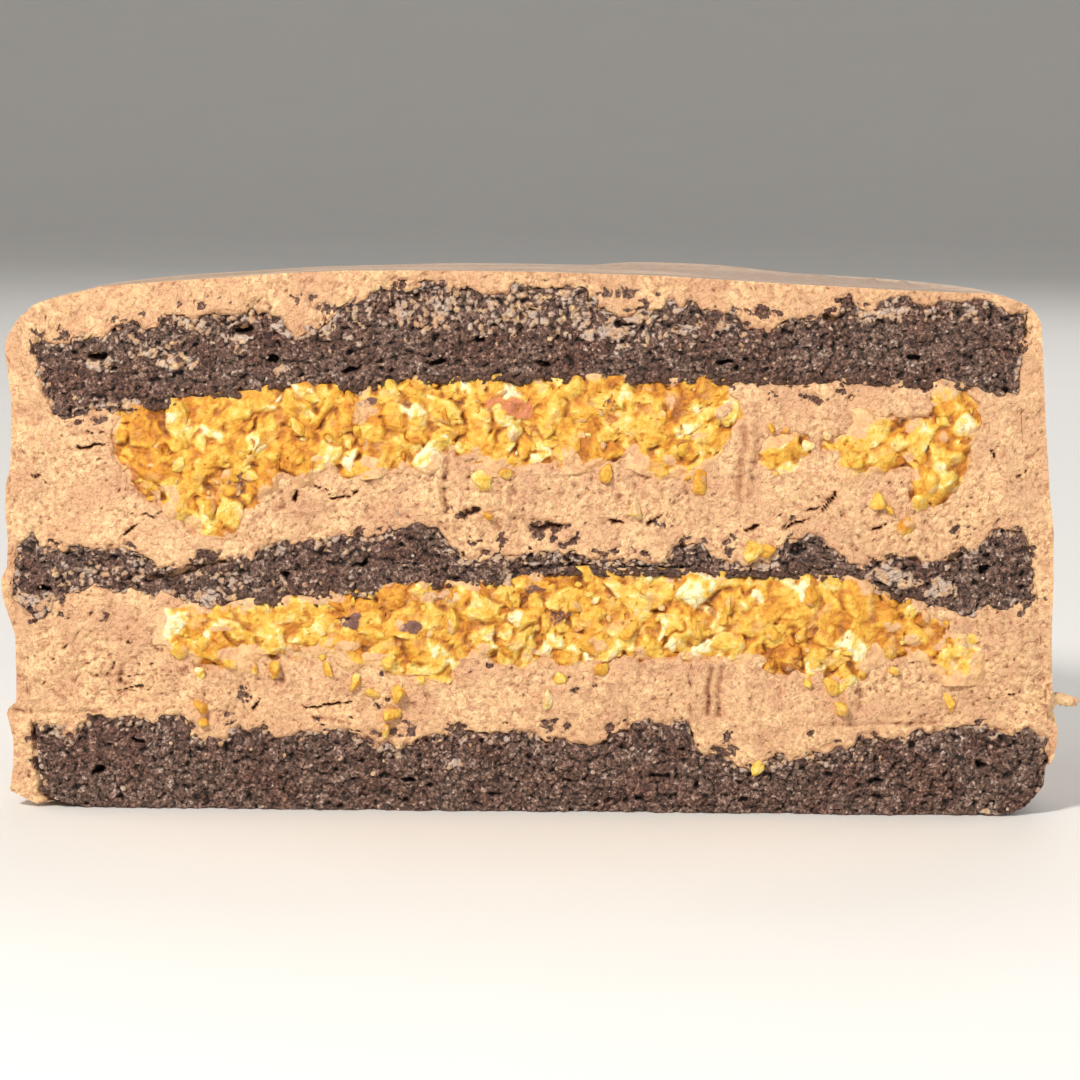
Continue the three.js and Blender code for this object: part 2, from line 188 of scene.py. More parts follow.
# Crumbs torn out of the sponges and caught in the cream: x, z, width, height and share
CRUMB_PATCHES = [
    (2, 46.3, 6.4, 1.6, 0.95), (-9, 43, 6, 2.8, 0.6), (-5, 43.4, 2.4, 3.2, 0.7), (-0.2, 44, 5, 3, 0.55),
    (5, 43.9, 6, 2.6, 0.7), (11, 42.7, 7, 2.2, 0.6), (17, 41.6, 5, 2, 0.4), (31, 42.6, 2.2, 5, 0.9),
    (36.4, 81, 6, 2.2, 0.95), (-46.3, 18.9, 3.4, 3.4, 0.8), (-49, 15.4, 3.4, 3, 0.6),
    (-33, 14.4, 7, 2, 0.4), (-24, 17.5, 2.4, 4, 0.5), (-21, 13, 10, 2.4, 0.6), (3, 14.3, 6, 2.2, 0.8),
    (13, 13.8, 9, 2.4, 0.6), (31, 10.6, 6, 5, 0.5), (-50, 40.2, 7, 2, 0.5), (-66, 39.8, 12, 2, 0.3),
    (-36, 82.6, 9, 2, 0.4), (-52, 81.4, 9, 2, 0.6), (-33.5, 81, 5, 2, 0.9), (-66, 78.6, 9, 2.4, 0.45),
    (-76, 76.4, 7, 1.8, 0.5), (-15, 85, 16, 1.6, 0.5), (15, 83.6, 12, 2, 0.5), (33, 82, 9, 2.4, 0.4),
    (40, 48, 5, 2.2, 0.35), (57, 46, 4, 2, 0.3), (21, 47, 4, 1.4, 0.4), (-60, 64.6, 8, 1.6, 0.3),
    (44, 67.6, 14, 1.6, 0.25), (74, 34.4, 8, 1.6, 0.5), (-75, 31.5, 12, 2, 0.5), (68, 47, 5, 2, 0.3),
    (-8, 23, 4, 3, 0.25), (43, 13, 6, 2, 0.4), (7, 20.5, 5, 3, 0.4), (-12, 48.5, 5, 2, 0.35),
    (-26, 22.5, 5, 1.6, 0.3),
]

# Ridges and furrows where the knife dragged: x, lowest and highest z, height, width
KNIFE_MARKS = [
    (-15, 47.5, 60, 0.5, 0.6), (-14.2, 48, 57, -0.35, 0.5), (-4.5, 46, 57, 0.4, 0.5),
    (34, 50, 65, 0.55, 0.6), (33, 50, 64, -0.25, 0.6), (28.2, 15, 25.2, -0.5, 0.5),
    (29.8, 15, 25, -0.4, 0.5), (29, 15, 25, 0.3, 0.5), (50.5, 16, 22, 0.4, 0.5),
    (52.5, 16, 22, -0.4, 0.6), (-29, 48, 52, 0.25, 0.4), (6, 50, 55, 0.25, 0.5),
    (-66.5, 16.5, 25, -0.3, 0.5), (61.5, 44, 52, 0.3, 0.5), (14, 14, 19, 0.3, 0.4),
]
CREASES = [(-84, 15.9, -70, 15.6), (45, 14.4, 66, 15), (-36, 15.2, -30, 14.4)]

# Cream pressed or smeared into the sponges: x, z, width, height and share of the crumb that it covers
SMEARS = [
    (-69, 71.8, 9, 2.2, 0.95), (-62.5, 73.5, 5, 1.6, 0.8), (-57, 72.5, 6, 3, 1), (-47, 76, 5, 2, 0.95),
    (-41, 71, 2.6, 1.8, 0.9), (-65, 65.6, 6, 1.3, 0.9), (-73, 66, 4, 1, 0.6), (15, 80, 7, 2.6, 1),
    (13, 77.6, 3.2, 2, 1), (14, 75.5, 2.6, 1.6, 0.9), (4.5, 83, 2, 1.6, 0.9), (7.5, 77, 2.2, 1.4, 0.8),
    (23, 78.5, 3.4, 2, 0.9), (54, 81, 12, 2.4, 0.85), (-30, 77, 9, 4, 0.62), (-6, 80.5, 48, 7, 0.56),
    (17, 79, 28, 7, 0.5), (-36, 79, 12, 5, 0.85), (-52, 78.5, 16, 3.6, 0.6), (-57, 75.5, 22, 4, 0.35),
    (64, 81, 30, 3, 0.3), (-13, 7.5, 3, 2, 1), (73, 0.8, 2.4, 1, 0.9), (56.5, 39.2, 9, 3.4, 1),
    (64.5, 36.6, 5.4, 3.6, 1), (60.5, 37.8, 6, 2, 0.95), (-77, 33, 15, 3.6, 0.8),
    (-4.2, 39, 1.8, 12, 0.95), (4, 42.2, 12, 3, 0.6), (-9, 42.2, 10, 3.8, 0.9),
    (16, 42.4, 14, 3.4, 0.86), (35.6, 41.6, 7, 3.4, 1), (5, 40.4, 26, 1.4, 0.5), (-61, 40.5, 6, 2, 0.7),
    (-46, 37, 18, 3.6, 0.36), (-70, 38, 18, 5, 0.3), (-56, 34.5, 13, 2.4, 0.72),
    (-66, 13.6, 16, 2.2, 0.4), (-12, 11.8, 18, 2, 0.45), (40, 8.6, 22, 2.2, 0.45),
    (70, 43.5, 8, 2, 0.4), (-38, 42.5, 16, 2.2, 0.35), (6, 83.5, 32, 2, 0.7), (-22, 35, 26, 1.6, 0.35),
    (12, 81.5, 7, 3, 0.85), (33, 78, 9, 3, 0.4), (-76, 12.5, 7, 2.2, 0.7), (52, 36.2, 12, 1.8, 0.4),
    (44, 81.6, 8, 2.2, 0.6),
]

# Torn holes and cracks in the sponges: x, z, width, height, tilt in degrees and depth
TEARS = [
    (-70, 73, 4, 1.6, 10, 3), (-47, 77.5, 3.4, 1.8, 0, 3), (-42, 72.6, 1.8, 2.6, 20, 2.5),
    (-16, 72.5, 4, 1.2, 9, 2.5), (1, 72.5, 2.6, 1, 0, 2.5), (13.5, 79.2, 3.6, 1.8, 0, 3),
    (47, 80.5, 4, 1.6, 0, 3), (-9, 76, 2.2, 1.6, 0, 2.5), (-60.5, 37.4, 6, 0.9, 16, 5),
    (-55.5, 38.8, 7, 1.5, 15, 6), (-50.5, 40.1, 4.5, 1, 8, 5), (-70, 6, 3, 2, 20, 3),
    (-78.5, 35.5, 3, 1.2, 0, 2.5), (57, 43, 6, 1.3, -24, 5), (62, 41.6, 6, 1.2, -8, 5),
    (67.5, 42, 4, 1.2, 26, 4), (3, 39.9, 16, 0.9, 2, 0.8), (20, 39.9, 14, 0.9, 0, 0.8),
    (24, 44, 3, 2.4, 0, 1.6), (42, 43, 3.6, 2.6, 0, 1.4), (-75, 41.5, 2.4, 1, 0, 2.5),
    (-64, 11, 3, 1, 0, 2), (-20, 5, 3, 1, -10, 1.8), (20, 6, 3.4, 1, 0, 1.8), (55, 5.5, 3, 1, 8, 1.8),
    (72, 8, 2.6, 1.2, 0, 2), (30, 73, 2.6, 1, 0, 2), (60, 74, 3, 1, -12, 2), (-30, 71, 3, 1, 8, 2),
    (72, 40, 2.4, 1.6, 40, 2.4), (-28, 40, 3, 1, 12, 2), (-40, 38, 2.4, 1, 0, 2),
]


# Noise

TILE = 256
OCTAVE_TURN = math.radians(37)


@lru_cache(maxsize=None)
def lattice(seed):
    return np.random.default_rng(seed).random((TILE, TILE))


def eased(share):
    share = np.clip(share, 0.0, 1.0)
    return share * share * (3 - 2 * share)


def ramp(value, start, end):
    """Rises smoothly from 0 to 1 as a value goes from start to end."""
    return eased((value - start) / (end - start))


def mixed(a, b, share):
    return a + (b - a) * share


def noise(x, z, size, seed):
    """Smooth noise from -1 to 1 with bumps of a size."""
    u, w = x / size, z / size
    i, k = np.floor(u).astype(int), np.floor(w).astype(int)
    f, g = eased(u - i), eased(w - k)
    table = lattice(seed)
    i, k, i1, k1 = i % TILE, k % TILE, (i + 1) % TILE, (k + 1) % TILE
    low = mixed(table[i, k], table[i1, k], f)
    high = mixed(table[i, k1], table[i1, k1], f)
    return 2 * mixed(low, high, g) - 1


def fractal(x, z, size, seed, octaves=3):
    total = 0.0
    strength = 1.0
    for octave in range(octaves):
        total = total + strength * noise(x, z, size, seed + octave)
        x, z = (
            x * math.cos(OCTAVE_TURN) - z * math.sin(OCTAVE_TURN),
            x * math.sin(OCTAVE_TURN) + z * math.cos(OCTAVE_TURN),
        )
        size, strength = size * 0.5, strength * 0.5
    return total


def cells(x, z, size, seed):
    """Distance to the nearest seed point, gap to the next one, both in sizes, and its random number."""
    u, w = x / size, z / size
    i, k = np.floor(u).astype(int), np.floor(w).astype(int)
    shift_x, shift_z, lot = lattice(seed), lattice(seed + 1), lattice(seed + 2)
    near = np.full(u.shape, 9.0)
    second = np.full(u.shape, 9.0)
    pick = np.zeros(u.shape)
    for step_x in (-1, 0, 1):
        for step_z in (-1, 0, 1):
            a, b = (i + step_x) % TILE, (k + step_z) % TILE
            distance = np.hypot(i + step_x + shift_x[a, b] - u, k + step_z + shift_z[a, b] - w)
            closer = distance < near
            second = np.where(closer, near, np.minimum(second, distance))
            pick = np.where(closer, lot[a, b], pick)
            near = np.where(closer, distance, near)
    return near, second - near, pick


# Borders

def line(points, roughness=0.0, seed=0):
    """The height of a border at x, with a fine raggedness."""
    xs, zs = np.array(points, float).T

    def height(x):
        level = np.interp(x, xs, zs)
        if roughness:
            level = level + roughness * (noise(x, 0 * x, 2.3, seed) + 0.6 * noise(x, 0 * x, 0.9, seed + 1))
        return level

    return height


BORDERS = {
    "bottom_top": line(BOTTOM_SPONGE_TOP, 0.45, 3),
    "middle_base": line(MIDDLE_SPONGE_BASE, 0.35, 5),
    "middle_top": line(MIDDLE_SPONGE_TOP, 0.45, 7),
    "top_base": line(TOP_SPONGE_BASE, 0.3, 9),
    "top_top": line(TOP_SPONGE_TOP, 0.5, 11),
}
HEEL_LINE = line([(-80, 3), (80, 3)])

SPONGES = [
    (HEEL_LINE, BORDERS["bottom_top"], (HEEL_ENDS, BORDER_ENDS["bottom_top"])),
    (BORDERS["middle_base"], BORDERS["middle_top"], (BORDER_ENDS["middle_base"], BORDER_ENDS["middle_top"])),
    (BORDERS["top_base"], BORDERS["top_top"], (BORDER_ENDS["top_base"], BORDER_ENDS["top_top"])),
]


def depth_in_sponge(x, z):
    """How far points of the cut lie inside a sponge, negative outside all of them."""
    best = np.full(np.shape(x), -99.0)
    for lower, upper, (low_ends, high_ends) in SPONGES:
        low, high = lower(x), upper(x)
        if lower is HEEL_LINE:
            low = low - 9
        share = np.clip((z - low) / np.maximum(high - low, 0.1), 0, 1)
        left = mixed(low_ends[0], high_ends[0], share)
        right = mixed(low_ends[1], high_ends[1], share)
        inside = np.minimum(np.minimum(z - low, high - z), np.minimum(x - left, right - x))
        best = np.maximum(best, inside)
    return best


def depth_in_outline(x, z, outline):
    """How far points lie inside an outline, negative outside it."""
    distance = np.full(np.shape(x), 99.0)
    inside = np.zeros(np.shape(x), bool)
    for (x0, z0), (x1, z1) in zip(outline, outline[1:] + outline[:1]):
        dx, dz = x1 - x0, z1 - z0
        along = np.clip(((x - x0) * dx + (z - z0) * dz) / (dx * dx + dz * dz), 0, 1)
        distance = np.minimum(distance, np.hypot(x - x0 - along * dx, z - z0 - along * dz))
        if z0 != z1:
            crosses = ((z0 > z) != (z1 > z)) & (x < x0 + (z - z0) / (z1 - z0) * dx)
            inside = inside ^ crosses
    return np.where(inside, distance, -distance)


def depth_in_beds(x, z):
    """How far points lie inside the crunch, with its ragged edge and the cream between its nuts."""
    beds = [depth_in_outline(x, z, outline) for outline in (UPPER_BED, *UPPER_ISLANDS, LOWER_BED)]
    depth = np.maximum.reduce(beds) + 0.3
    for gap_x, gap_z, width, height in BED_GAPS:
        core = within(x, z, (gap_x, gap_z), 0, width, height) + 0.35 * noise(x, z, 1.4, 26)
        depth -= 3.5 * ramp(core, -0.1, 0.7)
    return depth + 1.1 * noise(x, z, 4.2, 21) + 0.9 * noise(x, z, 1.9, 22) + 0.6 * noise(x, z, 0.9, 27)


THIN_COAT = 1.0


def torn_depth(x, z):
    """Depth inside a sponge, with the ragged line along which cream and crumb part."""
    ragged = 0.75 * noise(x, z, 2.8, 23) + 0.5 * noise(x, z, 1.2, 24) + 0.3 * noise(x, z, 0.6, 25)
    beside_crunch = np.maximum(ramp(z, 71, 69.5) * ramp(z, 65, 66) * ramp(x, -68, -60) * ramp(x, 74, 70),
                               ramp(z, 40, 38.8) * ramp(z, 31, 32) * ramp(x, -30, -20) * ramp(x, 60, 52))
    curdled = 0.7 * ramp(z, 74, 77)
    torn = depth_in_sponge(x, z) + ragged * (1 + curdled - 0.6 * beside_crunch)
    return np.minimum(torn, 1.2 * (line(COAT_TOP)(x) - THIN_COAT - z))


# Relief of the cut: depth behind the plane of the cut, in millimetres

def within(x, z, place, tilt_degrees, width, height):
    """1 at the middle of a tilted spot, 0 at its edge and below 0 outside."""
    tilt = math.radians(tilt_degrees)
    dx, dz = x - place[0], z - place[1]
    along = (dx * math.cos(tilt) + dz * math.sin(tilt)) / (width / 2)
    across = (dz * math.cos(tilt) - dx * math.sin(tilt)) / (height / 2)
    return 1 - np.hypot(along, across)


def crumb_front(x, z):
    """Depth of the torn crumb, with how near the middle of its granule each point lies and its number."""
    wx = x + 0.3 * noise(x, z, 1.1, 31)
    wz = z + 0.3 * noise(x, z, 1.1, 32)
    clump, clump_gap, _ = cells(wx, wz, 2.9, 61)
    near, gap, pick = cells(wx, wz, 0.95, 35)
    depth = 0.5 + 0.4 * noise(x, z, 6.5, 36) + 0.35 * fractal(x, z, 2.6, 37, 2)
    depth += 0.7 * clump ** 2 + 0.3 * ramp(clump_gap, 0.14, 0.0)
    depth -= 0.45 * (1 - near ** 2)
    depth += 0.3 * ramp(gap, 0.2, 0.0) + 0.22 * noise(x, z, 0.55, 65)
    pore, _, pore_pick = cells(wx, wz * 1.35, 2.7, 38)
    pore = pore + 0.16 * noise(x, z, 0.8, 66)
    depth += np.where(pore_pick < 0.4, (0.5 + pore_pick) * ramp(pore, 0.32, 0.05), 0)
    for tear_x, tear_z, width, height, tilt, deep in TEARS:
        core = within(wx, wz, (tear_x, tear_z), tilt, width, height)
        core = core + 0.3 * noise(x, z, 0.8, 39)
        depth += deep * ramp(core, 0.0, 0.5)
    return depth, near, pick


def smear_cover(x, z):
    """Share of the crumb that cream covers."""
    cover = np.zeros(np.shape(x))
    torn = 0.4 * noise(x, z, 2.1, 71) + 0.4 * noise(x, z, 0.9, 72)
    for smear_x, smear_z, width, height, share in SMEARS:
        core = within(x, z, (smear_x, smear_z), 0, 1.1 * width, 1.1 * height) + torn
        cover = np.maximum(cover, share * ramp(core, -0.1, 0.45))
    return cover


def roughness_of_cream(x, z):
    """1 where the cream is torn and curdled, 0 where it was cut smooth."""
    patch = noise(x, z, 13, 57) + 0.6 * noise(x, z, 5, 58)
    by_crunch = ramp(np.abs(z - 53), 11, 4) * ramp(x, 78, 68) + ramp(np.abs(z - 24), 9, 4) * ramp(x, -70, -58)
    return ramp(patch + 0.7 * by_crunch, 0.1, 1.0)


def cream_relief(x, z):
    """Depth of the cut cream: knife strokes, curdled patches, pores and slits."""
    rough = roughness_of_cream(x, z)
    depth = 0.22 * noise(x, z, 17, 51) + 0.12 * noise(x, z, 5, 52)
    depth += 0.05 * noise(x, 0.12 * z, 1.3, 53) + 0.06 * fractal(x, z, 1.1, 54, 3)
    tear = 0.3 * noise(x, z, 2.2, 82) + 0.12 * noise(x, z, 0.9, 83)
    depth += 0.26 * ramp(noise(x, 1.6 * z, 11, 89) + tear, 0.0, 0.09)
    depth += 0.18 * ramp(noise(x, 1.8 * z, 6, 90) + tear, 0.15, 0.22)
    wx, wz = x + 0.5 * noise(x, z, 1.3, 59), z + 0.5 * noise(x, z, 1.3, 60)
    curd, curd_gap, _ = cells(wx, wz * 1.25, 1.7, 64)
    depth += rough * (0.3 * curd ** 2 + 0.15 * ramp(curd_gap, 0.12, 0.0) + 0.14 * fractal(x, z, 0.9, 77, 2))
    curl = np.abs(noise(wx, wz * 1.3, 3.3, 63))
    depth += 0.32 * ramp(curl, 0.06, 0.0) * ramp(noise(x, z, 7, 80), 0.0, 0.5)
    pore, _, pick = cells(x, z, 1.25, 67)
    depth += np.where(pick < 0.2 + 0.25 * rough, 0.35 * ramp(pore, 0.28, 0.08), 0)
    for slit_x, slit_z, length, tilt, width in SLITS:
        sway = 0.7 * noise(x, z, 1.9, 73) + 0.3 * noise(x, z, 0.7, 78)
        core = within(x + sway, z + sway, (slit_x, slit_z), tilt, length, width + 0.2)
        depth += 1.3 * ramp(core + 0.3 * noise(x, z, 0.8, 79), 0.0, 0.7)
    for mark_x, low, high, height, width in KNIFE_MARKS:
        sway = 0.4 * noise(x * 0, z, 4, 74) + 0.1 * noise(x * 0, z, 1, 75)
        across = np.exp(-(((x - mark_x + sway) / width) ** 2))
        depth -= 1.2 * height * across * ramp(z, low, low + 1.5) * ramp(z, high, high - 1.5)
    for x0, z0, x1, z1 in CREASES:
        level = mixed(z0, z1, np.clip((x - x0) / (x1 - x0), 0, 1)) + 0.25 * noise(x, 0 * x, 3, 76)
        span = ramp(x, x0 - 1, x0 + 1) * ramp(x, x1 + 1, x1 - 1)
        depth += 0.35 * span * np.exp(-(((z - level) / 0.3) ** 2))
    return depth


SPONGE_TUCK = 1.9
BED_TUCK = 2.2


def cream_front(x, z):
    """Depth of the cream, which drops away behind the sponges and the crunch."""
    crumb = torn_depth(x, z)
    bed = depth_in_beds(x, z)
    depth = cream_relief(x, z)
    depth += 0.3 * ramp(crumb, -0.9, 0.0) + SPONGE_TUCK * ramp(crumb, -0.1, 0.5)
    depth += 0.15 * ramp(bed, -1.2, 0.0) + BED_TUCK * ramp(bed, -0.1, 0.9)
    return depth


def crumbs_in_cream(x, z):
    """1 where a dark crumb sits in the cream, nearly all of them close to a sponge."""
    close = ramp(depth_in_sponge(x, z), -2.6, 0.3) ** 2
    near, _, pick = cells(x + 0.5 * noise(x, z, 1.4, 84), 1.3 * z + 0.5 * noise(x, z, 1.1, 88), 1.5, 81)
    chance = 0.001 + 0.6 * close * ramp(noise(x, z, 5.5, 85), -0.3, 0.7)
    torn = 0.45 * noise(x, z, 1.8, 86) + 0.3 * noise(x, z, 0.8, 87)
    for patch_x, patch_z, width, height, share in CRUMB_PATCHES:
        core = within(x, z, (patch_x, patch_z), 0, 1.2 * width, 1.2 * height) + torn
        chance = np.maximum(chance, share * ramp(core, 0.0, 0.5))
    return np.where(pick < chance, ramp(near, 1.0, 0.1), 0)


def blurred(field, reach):
    """A field averaged over the square of grid points around each one."""
    side = 2 * reach + 1
    total = np.pad(field, reach, mode="edge").cumsum(0).cumsum(1)
    total = np.pad(total, ((1, 0), (1, 0)))
    across = total[:, side:] - total[:, :-side]
    return (across[side:] - across[:-side]) / side ** 2


# Meshes

class Builder:
    """Collects vertices, faces and one number per vertex under each attribute's name."""

    def __init__(self, *attributes):
        self.points = []
        self.faces = []
        self.values = {name: [] for name in attributes}
        self.count = 0

    def add(self, points, faces, **values):
        points = np.asarray(points, float).reshape(-1, 3)
        start = self.count
        self.points.append(points)
        self.faces += (np.asarray(faces) + start).tolist() if len(faces) else []
        for name, store in self.values.items():
            store.append(np.broadcast_to(np.asarray(values.get(name, 0.0), float), len(points)))
        self.count += len(points)
        return start

    def piece(self, name, material, slot, nodes=(), sharp_degrees=180.0):
        mesh = bpy.data.meshes.new(name)
        points = (np.concatenate(self.points) + ORIGIN) * MM
        mesh.from_pydata(points, [], self.faces)
        for attribute, store in self.values.items():
            data = mesh.attributes.new(attribute, "FLOAT", "POINT").data
            data.foreach_set("value", np.concatenate(store).astype(np.float32))
        shape = bmesh.new()
        shape.from_mesh(mesh)
        bmesh.ops.recalc_face_normals(shape, faces=shape.faces)
        shape.to_mesh(mesh)
        shape.free()
        mesh.polygons.foreach_set("use_smooth", [True] * len(mesh.polygons))
        if sharp_degrees < 180:
            mesh.set_sharp_from_angle(angle=math.radians(sharp_degrees))
        mesh.materials.append(material)
        piece = bpy.data.objects.new(name, mesh)
        bpy.context.scene.collection.objects.link(piece)
        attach(piece, "root")
        if nodes:
            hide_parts(*nodes)
        return piece


def grid_faces(columns, rows, wrap=False):
    """Quads of a grid whose points run row by row inside each column."""
    across = rows if wrap else rows - 1
    i, j = np.meshgrid(np.arange(columns - 1), np.arange(across), indexing="ij")
    k = (j + 1) % rows
    quads = [i * rows + j, (i + 1) * rows + j, (i + 1) * rows + k, i * rows + k]
    return np.stack(quads, -1).reshape(-1, 4)


def fan_faces(ring, middle):
    return [(ring[i], ring[(i + 1) % len(ring)], middle) for i in range(len(ring))]


def zip_faces(one, other):
    """Triangles between two open chains of points with different counts."""
    faces = []
    i = j = 0
    while i < len(one) - 1 or j < len(other) - 1:
        step_one = (i + 1) / max(len(one) - 1, 1)
        step_other = (j + 1) / max(len(other) - 1, 1)
        if j == len(other) - 1 or (i < len(one) - 1 and step_one <= step_other):
            faces.append((one[i], one[i + 1], other[j]))
            i += 1
        else:
            faces.append((one[i], other[j + 1], other[j]))
            j += 1
    return faces


DEPTH_SHARES = [0.05, 0.14, 0.4, 0.75, 1.0]
SIDE_ROWS = 4
END_DEPTH = 2.0
BODY_INSET = 2.8
INSET_FROM, INSET_TO = 3.0, 22.0
BEHIND_CUT = 0.3
LEAST_BODY = 0.2


def slab(builder, lower, upper, ends, settled, step, front):
    """A layer of the half cake: a fine cut face and a plain body behind it, closed all round."""
    (low_left, low_right), (high_left, high_right) = ends[0][:2], ends[1][:2]
    columns = int((max(low_right, high_right) - min(low_left, high_left)) / step) + 1
    u = np.linspace(0, 1, columns)[:, None]
    sample = np.linspace(low_left, low_right, 200)
    rows = int(np.percentile(upper(sample) - lower(sample), 90) / step) + 2
    v = np.linspace(0, 1, rows)[None, :]
    x = mixed(mixed(low_left, low_right, u), mixed(high_left, high_right, u), v)
    z = mixed(lower(x), upper(x), v)
    y, values = front(x, z)
    ring = [np.stack([x[:, j], y[:, j], z[:, j]], -1) for j in range(rows)]

    def behind(row, share, level, height):
        edge_x = x[:, row]
        left, right = x[0, row], x[-1, row]
        middle, radius = (left + right) / 2, (right - left) / 2
        reach = np.sqrt(np.maximum(radius ** 2 - (edge_x - middle) ** 2, 0) + END_DEPTH ** 2)
        reach = reach - BODY_INSET * ramp(reach, INSET_FROM, INSET_TO)
        start = np.maximum(y[:, row], 0) + BEHIND_CUT
        depth = mixed(start, np.maximum(reach, start + LEAST_BODY), share)
        back = mixed(height, level + 0 * height, ramp(depth, SETTLE_FROM, SETTLE_TO))
        return np.stack([edge_x, depth, back], -1)

    for share in DEPTH_SHARES:
        ring.append(behind(rows - 1, share, settled[1], z[:, -1]))
    low_end = behind(0, 1.0, settled[0], z[:, 0])
    for row in range(1, SIDE_ROWS):
        ring.append(mixed(ring[rows + len(DEPTH_SHARES) - 1], low_end, row / SIDE_ROWS))
    for share in reversed(DEPTH_SHARES):
        ring.append(behind(0, share, settled[0], z[:, 0]))
    points = np.stack(ring, 1)
    depth_rows = points.shape[1]
    full = {}
    for name, value in values.items():
        filled = np.full(points.shape[:2], 0.5 if name == "grain" else 0.0)
        filled[:, :rows] = value
        full[name] = filled.ravel()
    start = builder.add(points.reshape(-1, 3), grid_faces(columns, depth_rows, wrap=True), **full)
    for column in (0, columns - 1):
        middle = builder.add([points[column].mean(0)], [])
        first = start + column * depth_rows
        builder.faces += fan_faces(list(range(first, first + depth_rows)), middle)
    return builder


# Materials

class Shader:
    """A material's node tree with short calls for the nodes it needs."""

    def __init__(self, name):
        self.material = bpy.data.materials.new(name)
        self.material.use_nodes = True
        self.tree = self.material.node_tree
        self.surface = self.tree.nodes["Principled BSDF"]
        self.place = self.node("ShaderNodeTexCoord").outputs["Object"]

    def node(self, kind, **settings):
        made = self.tree.nodes.new(kind)
        for key, value in settings.items():
            setattr(made, key, value)
        return made

    def join(self, source, target):
        if isinstance(source, (int, float, tuple)):
            target.default_value = source
        else:
            self.tree.links.new(source, target)

    def noise(self, size_mm, detail=3.0, distortion=0.0):
        made = self.node("ShaderNodeTexNoise")
        made.inputs["Scale"].default_value = 1 / (size_mm * MM)
        made.inputs["Detail"].default_value = detail
        made.inputs["Distortion"].default_value = distortion
        self.join(self.place, made.inputs["Vector"])
        return made.outputs["Fac"]

    def attribute(self, name):
        return self.node("ShaderNodeAttribute", attribute_name=name).outputs["Fac"]

    def math(self, operation, *values, clamp=False):
        made = self.node("ShaderNodeMath", operation=operation, use_clamp=clamp)
        for socket, value in zip(made.inputs, values):
            self.join(value, socket)
        return made.outputs[0]

    def between(self, value, low, high, to_low=0.0, to_high=1.0):
        made = self.node("ShaderNodeMapRange")
        for name, number in (("From Min", low), ("From Max", high), ("To Min", to_low), ("To Max", to_high)):
            made.inputs[name].default_value = number
        self.join(value, made.inputs["Value"])
        return made.outputs[0]

    def ramp(self, value, stops):
        made = self.node("ShaderNodeValToRGB")
        spare = made.color_ramp.elements
        while len(spare) < len(stops):
            spare.new(0.5)
        for element, (place, colour) in zip(spare, stops):
            element.position = place
            element.color = (*colour, 1)
        self.join(value, made.inputs["Fac"])
        return made.outputs["Color"]

    def mix(self, share, one, other, blend="MIX"):
        made = self.node("ShaderNodeMix", data_type="RGBA", blend_type=blend)
        self.join(share, made.inputs[0])
        for value, socket in ((one, made.inputs[6]), (other, made.inputs[7])):
            self.join((*value, 1.0) if isinstance(value, tuple) else value, socket)
        return made.outputs[2]

    def bump(self, height, distance_mm, strength=1.0, after=None):
        made = self.node("ShaderNodeBump")
        made.inputs["Distance"].default_value = distance_mm * MM
        made.inputs["Strength"].default_value = strength
        self.join(height, made.inputs["Height"])
        if after:
            self.join(after, made.inputs["Normal"])
        return made.outputs["Normal"]

    def finish(self, colour, roughness, normal, **sockets):
        self.join(colour, self.surface.inputs["Base Color"])
        self.join(roughness, self.surface.inputs["Roughness"])
        self.join(normal, self.surface.inputs["Normal"])
        for name, value in sockets.items():
            self.surface.inputs[name.replace("_", " ")].default_value = value
        return self.material


CREAM = (0.85, 0.54, 0.28)
CREAM_PINK = (0.70, 0.40, 0.225)
CREAM_BROWN = (0.52, 0.25, 0.13)
CREAM_PALE = (0.93, 0.67, 0.37)
CREAM_GREY = (0.68, 0.53, 0.44)
# Rust-brown specks and veins of the cream, and also painted shade in its shallow hollows
CREAM_RUST_AND_SHADE = (0.33, 0.125, 0.055)
# Painted shadow in the cream's slits and deepest hollows
CREAM_SLIT_SHADOW = (0.07, 0.03, 0.018)
CREAM_SKIN = (0.55, 0.375, 0.25)
# Darker streaks of the coat's skin, and painted shade on the coat's top
SKIN_SHADE_AND_STREAK = (0.38, 0.25, 0.165)
# Paler skin of the walls, and partly painted highlights on the streaks of the top
SKIN_PALE = (0.78, 0.54, 0.35)
CRUMB_DARK = (0.028, 0.014, 0.011)
CRUMB_BROWN = (0.115, 0.060, 0.043)
CRUMB_WARM = (0.24, 0.133, 0.095)
CRUMB_TAN = (0.42, 0.28, 0.215)
# Pale granules: partly bits of cream and partly painted glints of moist crumb
CRUMB_PALE_AND_GLINT = (0.80, 0.66, 0.58)
CRUMB_TINT = (0.75, 0.5, 0.42)
CRUMB_BAKED = (0.10, 0.036, 0.016)
# Painted shadow in the sponge's holes, tears and deep hollows
CRUMB_HOLE_SHADOW = (0.012, 0.007, 0.006)
SMEAR_SHADE = (0.12, 0.055, 0.035)
NUT_TONES = [
    (0.0, (0.36, 0.11, 0.012)), (0.2, (0.63, 0.245, 0.020)), (0.45, (0.79, 0.405, 0.046)),
    (0.7, (0.87, 0.57, 0.105)), (0.88, (0.92, 0.72, 0.26)), (1.0, (0.95, 0.87, 0.56)),
]
NUT_CREAMY = (0.70, 0.40, 0.19)
SUGAR_RED = (0.66, 0.24, 0.11)
# Painted shade in the crunch's hollows
CARAMEL_CREVICE_SHADE = (0.55, 0.19, 0.02)
